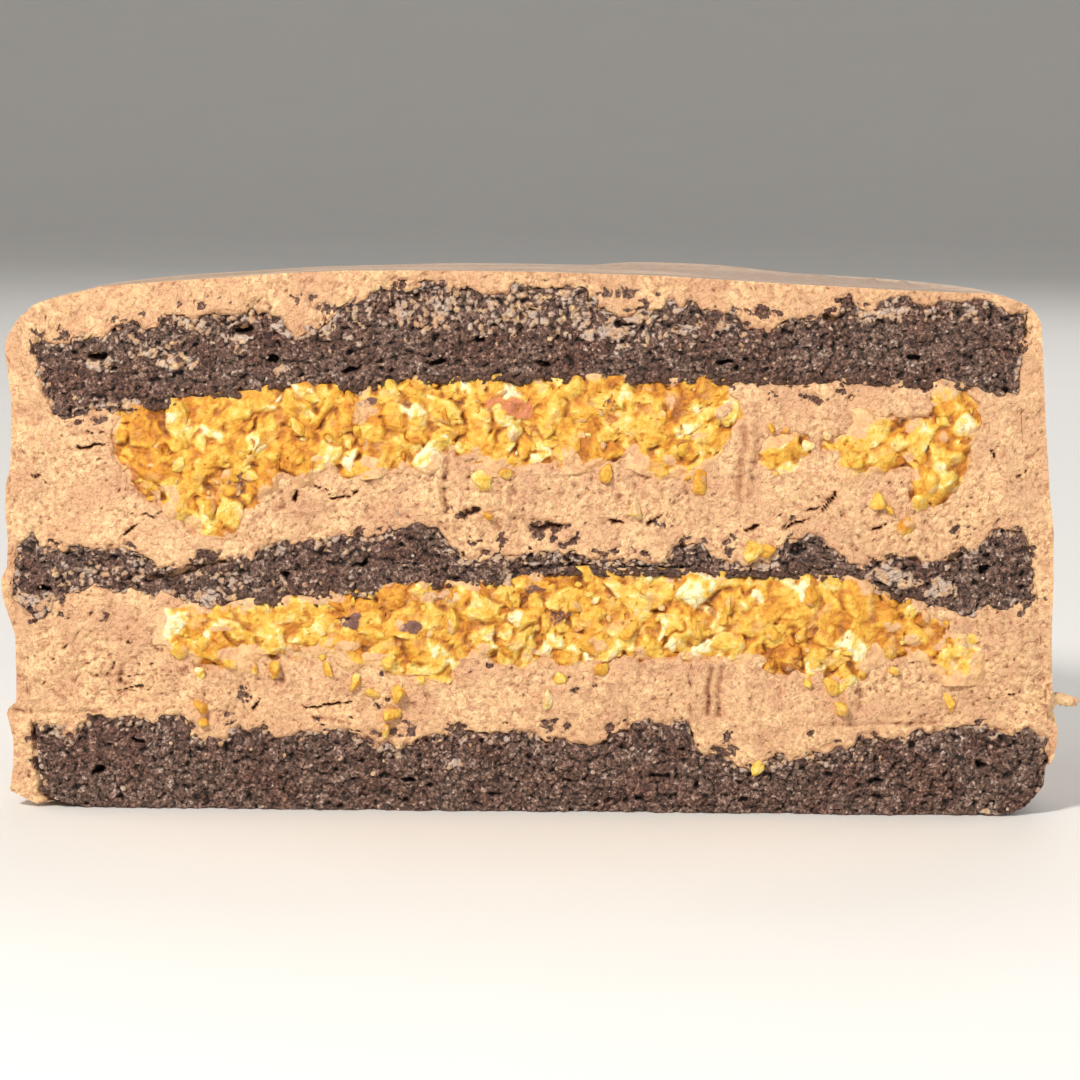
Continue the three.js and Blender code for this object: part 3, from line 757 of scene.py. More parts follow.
# Painted shadow in the crunch's deepest crevices
CARAMEL_CREVICE_SHADOW = (0.20, 0.065, 0.014)
CRUMB_ON_NUTS = (0.20, 0.10, 0.08)
FLOOR_GREY, FLOOR_PALE = (0.80, 0.79, 0.77), (0.83, 0.82, 0.80)


def cream_colour(shader):
    """Pale milk chocolate cream, mottled like wet sand."""
    sand = shader.noise(0.9, 6, distortion=0.8)
    colour = shader.ramp(sand, [
        (0.28, CREAM_BROWN), (0.42, CREAM_PINK), (0.52, CREAM), (0.66, CREAM_PALE),
    ])
    patches = shader.between(shader.noise(7.0, 5), 0.42, 0.62, 0.0, 0.85)
    return shader.mix(patches, colour, CREAM_PINK)


def crumb_colour(shader, grain):
    """Dark chocolate crumb: near-black to brown granules; the few greyish ones are partly painted glints."""
    tone = shader.ramp(grain, [
        (0.1, CRUMB_DARK), (0.34, CRUMB_BROWN), (0.56, CRUMB_WARM), (0.74, CRUMB_TAN), (0.9, CRUMB_PALE_AND_GLINT),
    ])
    patches = shader.between(shader.noise(8.0, 3), 0.42, 0.62, 0.0, 0.6)
    return shader.mix(patches, tone, CRUMB_TINT, "MULTIPLY")


def cream_material():
    shader = Shader("cream")
    colour = cream_colour(shader)
    specks = shader.between(shader.noise(0.5, 5, distortion=1.5), 0.58, 0.7, 0.0, 0.8)
    colour = shader.mix(specks, colour, CREAM_RUST_AND_SHADE)
    veins = shader.math("ABSOLUTE", shader.math("SUBTRACT", shader.noise(2.2, 5, distortion=0.6), 0.5))
    torn = shader.between(shader.noise(7, 3), 0.44, 0.6)
    veiny = shader.math("MULTIPLY", shader.between(veins, 0.016, 0.0), torn)
    colour = shader.mix(shader.math("MULTIPLY", veiny, 0.65), colour, CREAM_RUST_AND_SHADE)
    # Painted shade: the cream is darkened in the hollows of its relief, rust-brown in shallow ones and
    # near-black in slits
    deep = shader.attribute("pit")
    colour = shader.mix(shader.between(deep, 0.02, 0.4, 0.0, 0.75), colour, CREAM_RUST_AND_SHADE)
    colour = shader.mix(shader.between(deep, 0.4, 0.85), colour, CREAM_SLIT_SHADOW)
    flecks = shader.between(shader.noise(1.5, 5), 0.3, 0.7, -0.12, 0.12)
    # Coat's outer skin: the darkening of its top is painted shade, and the pale streaks there are partly
    # painted highlights along the spatula ridges
    streaks = shader.math("ADD", shader.attribute("stroke"), flecks)
    skin_shading_and_tone = shader.ramp(streaks, [(0.15, SKIN_SHADE_AND_STREAK), (0.5, CREAM_SKIN), (0.85, SKIN_PALE)])
    colour = shader.mix(shader.attribute("skin"), colour, skin_shading_and_tone)
    frayed = shader.between(shader.noise(0.6, 4), 0.3, 0.7, -0.35, 0.35)
    crumb = shader.between(shader.math("ADD", shader.attribute("crumb"), frayed), 0.42, 0.6)
    grain = shader.between(shader.noise(0.4, 3), 0.3, 0.7, 0.1, 0.7)
    colour = shader.mix(crumb, colour, crumb_colour(shader, grain))
    rough = shader.between(shader.noise(1.4, 3), 0.3, 0.7, 0.42, 0.62)
    normal = shader.bump(shader.noise(0.7, 6, distortion=0.8), 0.6, 1.0)
    return shader.finish(
        colour, rough, normal, Subsurface_Weight=0.1, Subsurface_Radius=(1.0, 0.5, 0.25),
        Subsurface_Scale=0.0010, Specular_IOR_Level=0.35,
    )


def sponge_material():
    shader = Shader("sponge")
    fine = shader.between(shader.noise(0.5, 5, distortion=0.5), 0.3, 0.7)
    grain = shader.math("ADD", shader.math("MULTIPLY", shader.attribute("grain"), 0.3),
                        shader.math("MULTIPLY", fine, 0.7), clamp=True)
    colour = crumb_colour(shader, grain)
    baked = shader.math("MULTIPLY", shader.attribute("warm"), 0.75)
    colour = shader.mix(baked, colour, CRUMB_BAKED)
    # Painted shade: the crumb darkens to near-black in its hollows, holes and tears, and cream smeared into
    # them darkens to a brown shade
    deep = shader.attribute("pit")
    colour = shader.mix(shader.between(deep, 0.3, 0.9, 0.0, 0.95), colour, CRUMB_HOLE_SHADOW)
    frayed = shader.between(shader.noise(0.45, 4), 0.3, 0.7, -0.35, 0.35)
    cover = shader.math("ADD", shader.attribute("cream"), frayed)
    coated = shader.mix(shader.between(shader.noise(1.6, 3), 0.4, 0.6), CREAM_GREY, cream_colour(shader))
    coated = shader.mix(shader.between(deep, 0.25, 0.8), coated, SMEAR_SHADE)
    colour = shader.mix(shader.between(cover, 0.3, 0.65), colour, coated)
    sparkle = shader.noise(0.3, 2)
    rough = shader.between(sparkle, 0.35, 0.65, 0.28, 0.9)
    normal = shader.bump(fine, 0.4, 1.0)
    normal = shader.bump(sparkle, 0.2, 0.8, normal)
    return shader.finish(colour, rough, normal, Specular_IOR_Level=0.6)


def crunch_material():
    shader = Shader("crunch")
    blotch = shader.between(shader.noise(1.5, 6, distortion=0.5), 0.3, 0.7, -0.26, 0.26)
    # The tone attribute also carries painted shade in hollows and painted highlight on raised bits of the
    # crunch mass
    tone = shader.math("ADD", shader.attribute("tone"), blotch, clamp=True)
    colour = shader.ramp(tone, NUT_TONES)
    creamy = shader.between(shader.noise(3.2, 5), 0.56, 0.68, 0.0, 0.55)
    colour = shader.mix(creamy, colour, NUT_CREAMY)
    colour = shader.mix(shader.attribute("sugar"), colour, SUGAR_RED)
    # Painted shade: the crunch darkens to deep orange in its hollows and to near-black in its deepest
    # crevices
    deep = shader.attribute("pit")
    colour = shader.mix(shader.between(deep, 0.14, 0.5, 0.0, 0.8), colour, CARAMEL_CREVICE_SHADE)
    colour = shader.mix(shader.between(deep, 0.5, 1.0, 0.0, 0.9), colour, CARAMEL_CREVICE_SHADOW)
    ragged = shader.between(shader.noise(0.5, 3), 0.3, 0.7, -0.3, 0.3)
    crumb = shader.math("ADD", shader.attribute("crumb"), ragged)
    colour = shader.mix(shader.between(crumb, 0.4, 0.65), colour, CRUMB_ON_NUTS)
    film = shader.math("ADD", shader.attribute("cream"), ragged)
    spread = shader.mix(shader.between(shader.noise(1.3, 5), 0.4, 0.6), CREAM, CREAM_PINK)
    colour = shader.mix(shader.between(film, 0.35, 0.75, 0.0, 0.9), colour, spread)
    rough = shader.between(shader.noise(0.8, 3), 0.3, 0.7, 0.3, 0.6)
    normal = shader.bump(shader.noise(0.7, 7), 0.6, 1.0)
    normal = shader.bump(shader.noise(0.4, 3), 0.08, 0.7, normal)
    return shader.finish(
        colour, rough, normal, Subsurface_Weight=0.25, Subsurface_Radius=(1.0, 0.6, 0.2),
        Subsurface_Scale=0.0012, Specular_IOR_Level=0.4,
    )


# Pieces

# How far the layers reach past their borders, under what covers them there
SPONGE_MARGIN = 1.6
CREAM_MARGIN = 2.6
CRUNCH_MARGIN = 1.2
UNDER_COAT = 0.8

# The foot of the cake, with its worn heels
SPONGE_FOOT_LEVEL = 0.05
SPONGE_FOOT = [
    (-80, 3), (-78, 1.8), (-75, 0.6), (-72, SPONGE_FOOT_LEVEL), (74, SPONGE_FOOT_LEVEL), (77, 0.5),
    (79.5, 1.5), (82, 4.5), (83, 7),
]


def crumb_values(x, z, warm_edge):
    depth, near, pick = crumb_front(x, z)
    edge = torn_depth(x, z)
    warm = warm_edge(x, z)
    cover = np.maximum(smear_cover(x, z), 0.45 * ramp(edge, 1.5, 0.1) * (1 - ramp(warm, 0.1, 0.5)))
    lot = pick * 17.3 % 1
    cover = cover * (1 + 0.5 * noise(x, z, 3.1, 96))
    spots = np.where(lot < cover, ramp(near + 0.2 * noise(x, z, 0.5, 94), 0.95, 0.2), 0.0)
    whole = ramp(cover, 0.62, 0.8)
    # Painted shade: a darkening share for hollows between the granules and for deep holes and tears
    hollow = depth - blurred(depth, 3)
    pit = np.clip(0.28 + 1.5 * hollow + 0.35 * ramp(depth, 0.9, 2.0), 0, 1)
    smooth = 0.2 + 0.35 * noise(x, z, 2.2, 92) + 0.12 * noise(x, z, 0.8, 93) + 0.25 * near ** 2
    depth = mixed(depth - 0.2 * spots, smooth, 0.85 * whole)
    depth += 1.5 * ramp(-edge, -0.05, 0.6)
    return depth, {"grain": pick, "cream": np.maximum(spots, whole), "pit": pit, "warm": warm}


def sponge_piece(name, lower, upper, ends, settled, warm_edge):
    builder = Builder("grain", "cream", "pit", "warm")
    slab(builder, lower, upper, ends, settled, CRUMB_STEP, lambda x, z: crumb_values(x, z, warm_edge))
    return builder.piece(name + "_crumb", SPONGE, "chocolate_sponge", [name])


def shifted(border, margin, least=0.0):
    """A border moved up or down, kept above the base and under the top of the coat."""
    return lambda x: np.clip(border(x) + margin, least, line(COAT_TOP)(x) - UNDER_COAT)


def make_sponges():
    def nowhere(x, _):
        return 0.0 * x

    def beside_upper_bed(x, z):
        return ramp(z - BORDERS["top_base"](x), 2.2, 0.2) * ramp(x, -68, -60) * ramp(x, 72, 68)

    def beside_lower_bed(x, z):
        return ramp(z - BORDERS["middle_base"](x), 1.8, 0.2) * ramp(x, -50, -40) * ramp(x, 66, 60)

    settled = (SPONGE_FOOT_LEVEL, BORDER_ENDS["bottom_top"][2])
    sponge_piece("sponge_bottom", line(SPONGE_FOOT), shifted(BORDERS["bottom_top"], SPONGE_MARGIN),
                 (HEEL_ENDS, BORDER_ENDS["bottom_top"]), settled, nowhere)
    for name, low, high, warm_edge in (("sponge_middle", "middle_base", "middle_top", beside_lower_bed),
                                       ("sponge_top", "top_base", "top_top", beside_upper_bed)):
        ends = (BORDER_ENDS[low], BORDER_ENDS[high])
        sponge_piece(name, shifted(BORDERS[low], -SPONGE_MARGIN), shifted(BORDERS[high], SPONGE_MARGIN), ends,
                     (ends[0][2], ends[1][2]), warm_edge)


def cream_values(x, z):
    crumb = crumbs_in_cream(x, z)
    depth = cream_front(x, z) + 0.5 * crumb
    relief = cream_relief(x, z)
    # Painted shade: a darkening share for the hollows of the relief and for its deepest spots, such as slits
    hollow = relief - blurred(relief, 3)
    return depth, {"pit": np.clip(1.1 * hollow + 0.6 * ramp(relief, 0.5, 1.6), 0, 1), "crumb": crumb}


def make_fillings():
    for name, low, high in (("cream_lower", "bottom_top", "middle_base"),
                            ("cream_upper", "middle_top", "top_base")):
        builder = Builder("pit", "crumb", "skin")
        ends = (BORDER_ENDS[low], BORDER_ENDS[high])
        slab(builder, shifted(BORDERS[low], -CREAM_MARGIN), shifted(BORDERS[high], CREAM_MARGIN), ends,
             (ends[0][2], ends[1][2]), CREAM_STEP, cream_values)
        builder.piece(name + "_spread", CREAM_LOOK, "milk_chocolate_cream", [name], 70)


TURNS = 168
TURN_CROWDING = 0.82
WALL_ROWS = 200
TOP_ROWS = 190
BAND_ROWS = 18
INNER_TURNS = 14
WALL_RADIUS = 84
HOLLOW_TOP = 79.2

# The swell on the top: x, depth, half width and half depth
SWELL_X, SWELL_Y, SWELL_WIDTH, SWELL_DEPTH = 24, 40, 14, 7

# Peaks that the spatula pulled up on the top: x, depth, height and width
PEAKS = ((54.5, 18, 0.9, 0.9), (60, 22, 0.8, 1.0), (46, 20, 0.5, 2.5), (15, 26, 0.4, 2))

# Where the coat turns in under itself at the foot of each end
INNER_FEET = (((-76, 1.4), (-79.5, 4.5)), ((81.6, 7.6), (82.6, 9.4)))


def spread_over(points, count):
    """A chain of points at even steps along an outline."""
    points = np.array(points, float)
    along = np.concatenate([[0], np.cumsum(np.hypot(*np.diff(points, axis=0).T))])
    even = np.linspace(0, along[-1], count)
    return np.stack([np.interp(even, along, points[:, 0]), np.interp(even, along, points[:, 1])], -1)


def top_height(x, y):
    """The spread top: its front rim, a low dome behind it and what the spatula left."""
    radius = np.hypot(x, y)
    rim = line(RIM)(x)
    dome = mixed(DOME_TOP, DOME_RIM, (radius / DOME_RADIUS) ** 3)
    height = mixed(rim, dome, ramp(y, 2, 30))
    across, back = (x - SWELL_X) / SWELL_WIDTH, (y - SWELL_Y - 0.12 * x) / SWELL_DEPTH
    step = 0.28 * ramp(x, 39, 37) * ramp(x, 8, 16)
    height += (0.6 + step) * np.exp(-(across ** 4) - back ** 2)
    for peak_x, peak_y, tall, wide in PEAKS:
        height += tall * np.exp(-(((x - peak_x) / wide) ** 2) - ((y - peak_y) / (2.5 * wide)) ** 2)
    strokes = noise(x + 0.3 * y, 4.0 * y - 0.6 * x, 26, 101) * 0.22 + noise(x, 5 * y, 12, 102) * 0.09
    height += strokes * ramp(y, 0.5, 8) * ramp(radius, 79, 70)
    return height


def wall_strokes(arc, z):
    """How far the scraped wall stands out: long level strokes with a few pits."""
    out = 0.26 * noise(arc * 0.12, z, 3.2, 111) + 0.14 * noise(arc * 0.2, z, 1.3, 112)
    out -= 0.3 * ramp(np.abs(noise(arc * 0.1, z, 4.6, 115)), 0.12, 0.0)
    out += 0.3 * noise(arc, z, 24, 113) - 0.4
    pore, _, pick = cells(arc, z * 1.6, 5.5, 114)
    out -= np.where(pick < 0.35, 0.5 * ramp(pore, 0.13, 0.04), 0)
    ledge = 15.8 + 1.2 * noise(arc, 0 * arc, 20, 116)
    out += 0.45 * ramp(z, ledge - 3, ledge) * ramp(z, ledge + 0.7, ledge)
    return out


def make_coat():
    t = np.linspace(0, 1, TURNS + 1)
    turn = math.pi * (t - TURN_CROWDING * np.sin(2 * math.pi * t) / (2 * math.pi))
    left_wall = spread_over(LEFT_WALL, WALL_ROWS)
    right_wall = spread_over(RIGHT_WALL, WALL_ROWS)
    share = ((1 - np.cos(turn)) / 2)[:, None]
    angle = turn[:, None]

    radius = mixed(-left_wall[None, :, 0], right_wall[None, :, 0], share)
    z = mixed(left_wall[None, :, 1], right_wall[None, :, 1], share)
    arc = WALL_RADIUS * angle
    bare = BARE_HEIGHT * ramp(angle, BARE_FROM, BARE_TO)
    uneven = UNEVEN_EDGE * (1 + np.sin(angle * 7) + 0.7 * noise(arc, 0 * arc, 3.5, 117)) * np.sin(angle)
    z = z + (bare + uneven) * np.maximum(0, 1 - z / EDGE_TOP)
    off_cut = ramp(np.minimum(arc, WALL_RADIUS * math.pi - arc), 0.0, 6.0)
    rounding = ramp(z, 82, 76)
    radius = radius + off_cut * rounding * wall_strokes(arc, z) * ramp(z, 0.8, 3)
    wall_x, wall_y = -radius * np.cos(angle), radius * np.sin(angle)

    inward = np.linspace(RIM_TURN, 0, TOP_ROWS + 1)[None, 1:]
    top_x, top_y = -inward * np.cos(angle), inward * np.sin(angle)
    wall_top = z[:, -1:]
    rising = wall_top + (RIM_TURN - inward) * 0.25
    top_z = mixed(rising, top_height(top_x, top_y), ramp(inward, RIM_TURN, RIM_TURN - 7))
    top_z[0], top_z[-1] = line(RIM)(top_x[0]), line(RIM)(top_x[-1])

    x = np.concatenate([wall_x, top_x], 1)
    y = np.concatenate([wall_y, top_y], 1)
    z = np.concatenate([z, top_z], 1)
    edge_relief = cream_relief(x, z) * np.exp(-y / 1.2)
    y = y + edge_relief
    columns, rows = x.shape

    builder = Builder("pit", "crumb", "skin", "stroke")
    skin = ramp(y - edge_relief, 0.05, 1.2)
    wall_z = z[:, :WALL_ROWS]
    wall_tone = 0.6 * noise(arc * 0.06, wall_z, 1.9, 118) + 0.4 * noise(arc * 0.1, wall_z, 0.9, 119)
    top_shading_and_tone = 0.6 * noise(top_x + 0.3 * top_y, 5 * top_y - 0.6 * top_x, 22, 120)
    top_shading_and_tone += 0.4 * noise(top_x, 6 * top_y, 9, 122)
    on_top = ramp(inward, RIM_TURN, RIM_TURN - 12)
    # Painted shade: the top's value is set lower than the walls' and sinks further towards the right; its
    # streaks along the strokes are partly painted highlights
    top_shading_and_tone = mixed(0.2 * top_shading_and_tone + 0.15, 0.4 * top_shading_and_tone - 0.2 - 0.25 * ramp(top_x, 5, 60), on_top)
    stroke = 0.5 + np.concatenate([0.15 + 0.2 * wall_tone, top_shading_and_tone], 1)
    outer = builder.add(np.stack([x, y, z], -1).reshape(-1, 3), grid_faces(columns, rows),
                        skin=skin.ravel(), stroke=stroke.ravel())

    inner_left, inner_right = inner_outline(rows)
    for column, inner in ((0, inner_left), (columns - 1, inner_right)):
        edge = np.stack([x[column], z[column]], -1)
        v = np.linspace(0, 1, BAND_ROWS + 1)[None, :-1, None]
        band = mixed(inner[:, None, :], edge[:, None, :], v)
        band_x, band_z = band[..., 0], band[..., 1]
        depth, values = cream_values(band_x, band_z)
        points = np.stack([band_x, depth, band_z], -1)
        flat = {name: value.ravel() for name, value in values.items()}
        start = builder.add(points.reshape(-1, 3), grid_faces(rows, BAND_ROWS), **flat)
        for row in range(rows - 1):
            a = start + row * BAND_ROWS + BAND_ROWS - 1
            b = outer + column * rows + row
            builder.faces.append((a, a + BAND_ROWS, b + 1, b))
        if column == 0:
            left_start = start
        else:
            right_start = start
    last = (rows - 1) * BAND_ROWS
    pole = outer + rows - 1
    for row in range(BAND_ROWS - 1):
        a, b = left_start + last + row, right_start + last + row
        builder.faces.append((a, a + 1, b + 1, b))
    builder.faces.append((left_start + last + BAND_ROWS - 1, pole, right_start + last + BAND_ROWS - 1))

    hollow_turn = np.linspace(0, math.pi, INNER_TURNS + 1)[1:-1, None]
    hollow_share = (1 - np.cos(hollow_turn)) / 2
    hollow_r = mixed(-inner_left[None, :, 0], inner_right[None, :, 0], hollow_share)
    hollow_z = mixed(inner_left[None, :, 1], inner_right[None, :, 1], hollow_share)
    drop = ramp(hollow_z, 60, 76) * ramp(hollow_r * np.sin(hollow_turn), 12, 40)
    hollow_z = mixed(hollow_z, np.minimum(hollow_z, HOLLOW_TOP), drop)
    hollow = np.stack([-hollow_r * np.cos(hollow_turn), hollow_r * np.sin(hollow_turn), hollow_z], -1)
    inside = builder.add(hollow.reshape(-1, 3), grid_faces(INNER_TURNS - 1, rows))
    for band, column in ((left_start, 0), (right_start, INNER_TURNS - 2)):
        for row in range(rows - 1):
            a, b = band + row * BAND_ROWS, inside + column * rows + row
            builder.faces.append((a, a + BAND_ROWS, b + 1, b))
    outer_foot = [outer + column * rows for column in range(columns)]
    inner_foot = [inside + column * rows for column in range(INNER_TURNS - 1)]
    left_foot = [left_start + row for row in range(BAND_ROWS)]
    right_foot = [right_start + row for row in range(BAND_ROWS)]
    builder.faces += zip_faces(outer_foot, left_foot[:1] + inner_foot + right_foot[:1])
    builder.faces += fan_faces_open(left_foot, outer_foot[0])
    builder.faces += fan_faces_open(right_foot, outer_foot[-1])
    builder.piece("coat_spread", CREAM_LOOK, "milk_chocolate_cream", ["coat"], 70)


def fan_faces_open(chain, tip):
    return [(chain[i], chain[i + 1], tip) for i in range(len(chain) - 1)]


def inner_outline(rows):
    """Where the coat meets the layers, from the foot of each side to the middle of the top."""
    levels = ["bottom_top", "middle_base", "middle_top", "top_base", "top_top"]
    sides = []
    for side, sign in ((0, -1), (1, 1)):
        wall = list(INNER_FEET[side])
        for level in levels:
            end = BORDER_ENDS[level][side]
            wall.append((end, float(BORDERS[level](np.array(end * 1.0)))))
        wall = [(x - sign * CREAM_MARGIN, z) for x, z in wall]
        wall[-1] = (wall[-1][0], wall[-1][1] - CREAM_MARGIN)
        chain = spread_over(wall, WALL_ROWS)
        across = np.linspace(wall[-1][0], 0, rows - WALL_ROWS + 1)[1:]
        top = np.stack([across, BORDERS["top_top"](across) - CREAM_MARGIN], -1)
        sides.append(np.concatenate([chain, top]))
    return sides


# Nut crunch

def ball(subdivisions):
    shape = bmesh.new()
    bmesh.ops.create_icosphere(shape, subdivisions=subdivisions, radius=1.0)
    points = np.array([v.co for v in shape.verts])
    faces = np.array([[v.index for v in f.verts] for f in shape.faces])
    shape.free()
    return points, faces


FINE_BALL = ball(3)
PLAIN_BALL = ball(2)


def turned(rng, points):
    frame_axes, _ = np.linalg.qr(rng.normal(size=(3, 3)))
    return points @ frame_axes


def broken_nut(rng, points, flatness):
    """A rounded lump with flat broken faces."""
    shape = points.copy()
    for _ in range(7):
        direction = rng.normal(size=3)
        direction /= np.linalg.norm(direction)
        over = shape @ direction - rng.uniform(0.42, 0.8)
        shape -= np.outer(np.maximum(over, 0), direction)
    bumps = noise(shape[:, 0] * 3 + rng.uniform(0, 90), shape[:, 1] * 3 + shape[:, 2] * 2, 1.0, 121)
    shape *= 1 + 0.12 * bumps[:, None]
    shape *= np.array([rng.uniform(0.9, 1.35), rng.uniform(0.7, 1.0), flatness])
    return turned(rng, shape)


def jittered(rng, outline, spacing):
    xs, zs = np.array(outline).T
    x, z = np.meshgrid(np.arange(xs.min(), xs.max(), spacing), np.arange(zs.min(), zs.max(), spacing))
    x = (x + rng.uniform(-0.5, 0.5, x.shape) * spacing).ravel()
    z = (z + rng.uniform(-0.5, 0.5, z.shape) * spacing).ravel()
    return x, z


def add_nuts(builder, rng, shape, nuts):
    points, faces = shape
    for x, y, z, size, tone in nuts:
        lump = broken_nut(rng, points, rng.uniform(0.45, 0.9)) * size / 2 + (x, y, z)
        # Painted shade: each loose nut darkens towards its back, where it sinks into the mass
        pit = np.clip((lump[:, 1] - y) / size, 0, 1)
        film = 0.8 * ramp(noise(lump[:, 0], lump[:, 2], 1.7, 127), 0.15, 0.7)
        builder.add(lump, faces, tone=tone, pit=pit, cream=film)


# Share and tone of each kind of nut, from burnt sugar over gold to white
TONES = ((0.12, 0.26), (0.40, 0.46), (0.37, 0.64), (0.11, 0.88))


def random_tones(rng, count):
    shares = np.array([share for share, _ in TONES])
    tones = np.array([tone for _, tone in TONES])
    picked = rng.choice(len(tones), count, p=shares / shares.sum())
    return np.clip(tones[picked] + rng.normal(0, 0.06, count), 0, 1)


# Nuts in the mass, from large to small: spacing, least and greatest size, depth of the middle
NUT_LAYERS = ((3.9, 4.2, 7.2, 1.5), (2.8, 2.4, 4.6, 1.2), (2.1, 1.2, 2.6, 0.95))
LOOSE_LAYERS = ((FINE_BALL, 5.6, 2.6, 4.4, 0.95), (PLAIN_BALL, 3.7, 1.0, 2.0, 0.6))
FUSING = 0.3

# Things that stand out in the crunch: x, z, width, height, tone, share of sugar and share of crumb
BED_FEATURES = [
    (-20, 65, 4.2, 3.6, 1.0, 0, 0), (-3, 65.3, 6, 4.6, 0.2, 1, 0), (-6.5, 66.5, 4, 2, 0.2, 0.8, 0),
    (-26.5, 66, 4, 2, 0.2, 0, 1), (-65.5, 54.3, 4, 3, 0.12, 0.5, 0), (-48.5, 45.2, 4.4, 3, 0.2, 0.2, 0),
    (-62, 66.5, 4, 2.4, 0.3, 0, 0.9), (-47.5, 53, 3.4, 5, 0.3, 0, 0.6), (-55, 47, 5, 5, 0.82, 0, 0),
    (-58, 63.5, 3, 2.4, 0.95, 0, 0), (-52, 61.5, 4, 2.4, 0.9, 0, 0), (-45, 60, 3.4, 3, 0.95, 0, 0),
    (12, 66.5, 3, 2, 0.4, 0, 0.5), (24, 62, 5, 4, 0.85, 0, 0), (38, 60, 5, 4.4, 0.7, 0, 0),
    (-30, 31, 4, 2.4, 0.2, 0.2, 0.8), (-20, 30, 5, 3, 0.2, 0.2, 0.8), (4, 32, 4, 3, 0.25, 0.3, 0.6),
    (0, 36, 3, 2, 0.25, 0.2, 0.7), (-3, 31.5, 3.4, 2.6, 0.98, 0, 0), (3.5, 28, 3, 4, 0.98, 0, 0),
    (9, 26, 2.6, 3, 0.95, 0, 0), (47, 25.5, 4.6, 3, 0.8, 0, 0), (67, 25.5, 6.5, 4, 0.72, 0, 0),
    (65, 55, 5, 4.5, 0.75, 0, 0), (50, 66.5, 3, 1.6, 0.2, 0, 0.5), (22, 31, 4, 4, 0.85, 0, 0),
    (44, 30, 4, 3, 0.35, 0.2, 0.4), (-38, 28, 4, 2, 0.8, 0, 0), (58, 60.5, 3, 3, 0.8, 0, 0),
]


def sprinkled(rng, outlines, ceiling, spacing, least, greatest, middle):
    """Places, sizes and tones of nuts spread evenly over the outlines, deeper towards the edge."""
    found = []
    for outline in outlines:
        x, z = jittered(rng, outline, spacing)
        sizes = rng.uniform(least, greatest, len(x))
        room = np.minimum(depth_in_outline(x, z, outline), ceiling(x) - z)
        keep = room > 0.12 * sizes - 0.4
        x, z, sizes, room = x[keep], z[keep], sizes[keep], room[keep]
        y = middle + 0.45 * rng.uniform(-1, 1, len(x)) + 0.1 * ramp(room, 2.6, 0.6)
        tones = random_tones(rng, len(x)) - 0.2 * ramp(noise(x, z, 8, 131), 0.1, 0.7)
        found.append(np.stack([x, y, z, sizes, np.clip(tones, 0, 1)], -1))
    return np.concatenate(found)


def facets(rng, size):
    """Planes of a broken nut: a few faces towards the viewer inside a ring of steep sides."""
    turns = np.arange(6) * math.pi / 3 + rng.uniform(-0.4, 0.4, 6) + rng.uniform(0, math.pi)
    steep = np.radians(rng.uniform(50, 80, 6))
    sides = np.stack([np.sin(steep) * np.cos(turns), -np.cos(steep), np.sin(steep) * np.sin(turns)], -1)
    lean = np.radians(rng.uniform(4, 42, 3))
    turns = rng.uniform(0, 2 * math.pi, 3)
    faces = np.stack([np.sin(lean) * np.cos(turns), -np.cos(lean), np.sin(lean) * np.sin(turns)], -1)
    reach = np.concatenate([rng.uniform(0.3, 0.6, 6), rng.uniform(0.2, 0.38, 3)]) * size
    return np.concatenate([sides, faces]), reach


def stamp_nuts(rng, x, z, depth, tone, nuts):
    """Presses nuts into a mass, each fused to what it touches."""
    columns = x[:, 0]
    for nut_x, nut_y, nut_z, size, nut_tone in nuts:
        normals, reach = facets(rng, size)
        turn, stretch = rng.uniform(0, math.pi), rng.uniform(1.0, 1.5)
        first, last = np.searchsorted(columns, (nut_x - 1.2 * size, nut_x + 1.2 * size))
        dx, dz = x[first:last] - nut_x, z[first:last] - nut_z
        along = (dx * math.cos(turn) + dz * math.sin(turn)) / stretch
        across = (dz * math.cos(turn) - dx * math.sin(turn)) * math.sqrt(stretch)
        front = np.full(dx.shape, -9.0)
        for (nx, ny, nz), far in zip(normals, reach):
            plane = (far - nx * along - nz * across) / ny
            front = np.where(plane > front, plane + 0.04, front)
        front = front + nut_y
        here = depth[first:last]
        blend = np.clip(0.5 + (here - front) / (2 * FUSING), 0, 1)
        depth[first:last] = mixed(here, front, blend) - FUSING * blend * (1 - blend)
        tone[first:last] = mixed(tone[first:last], nut_tone, eased(blend))


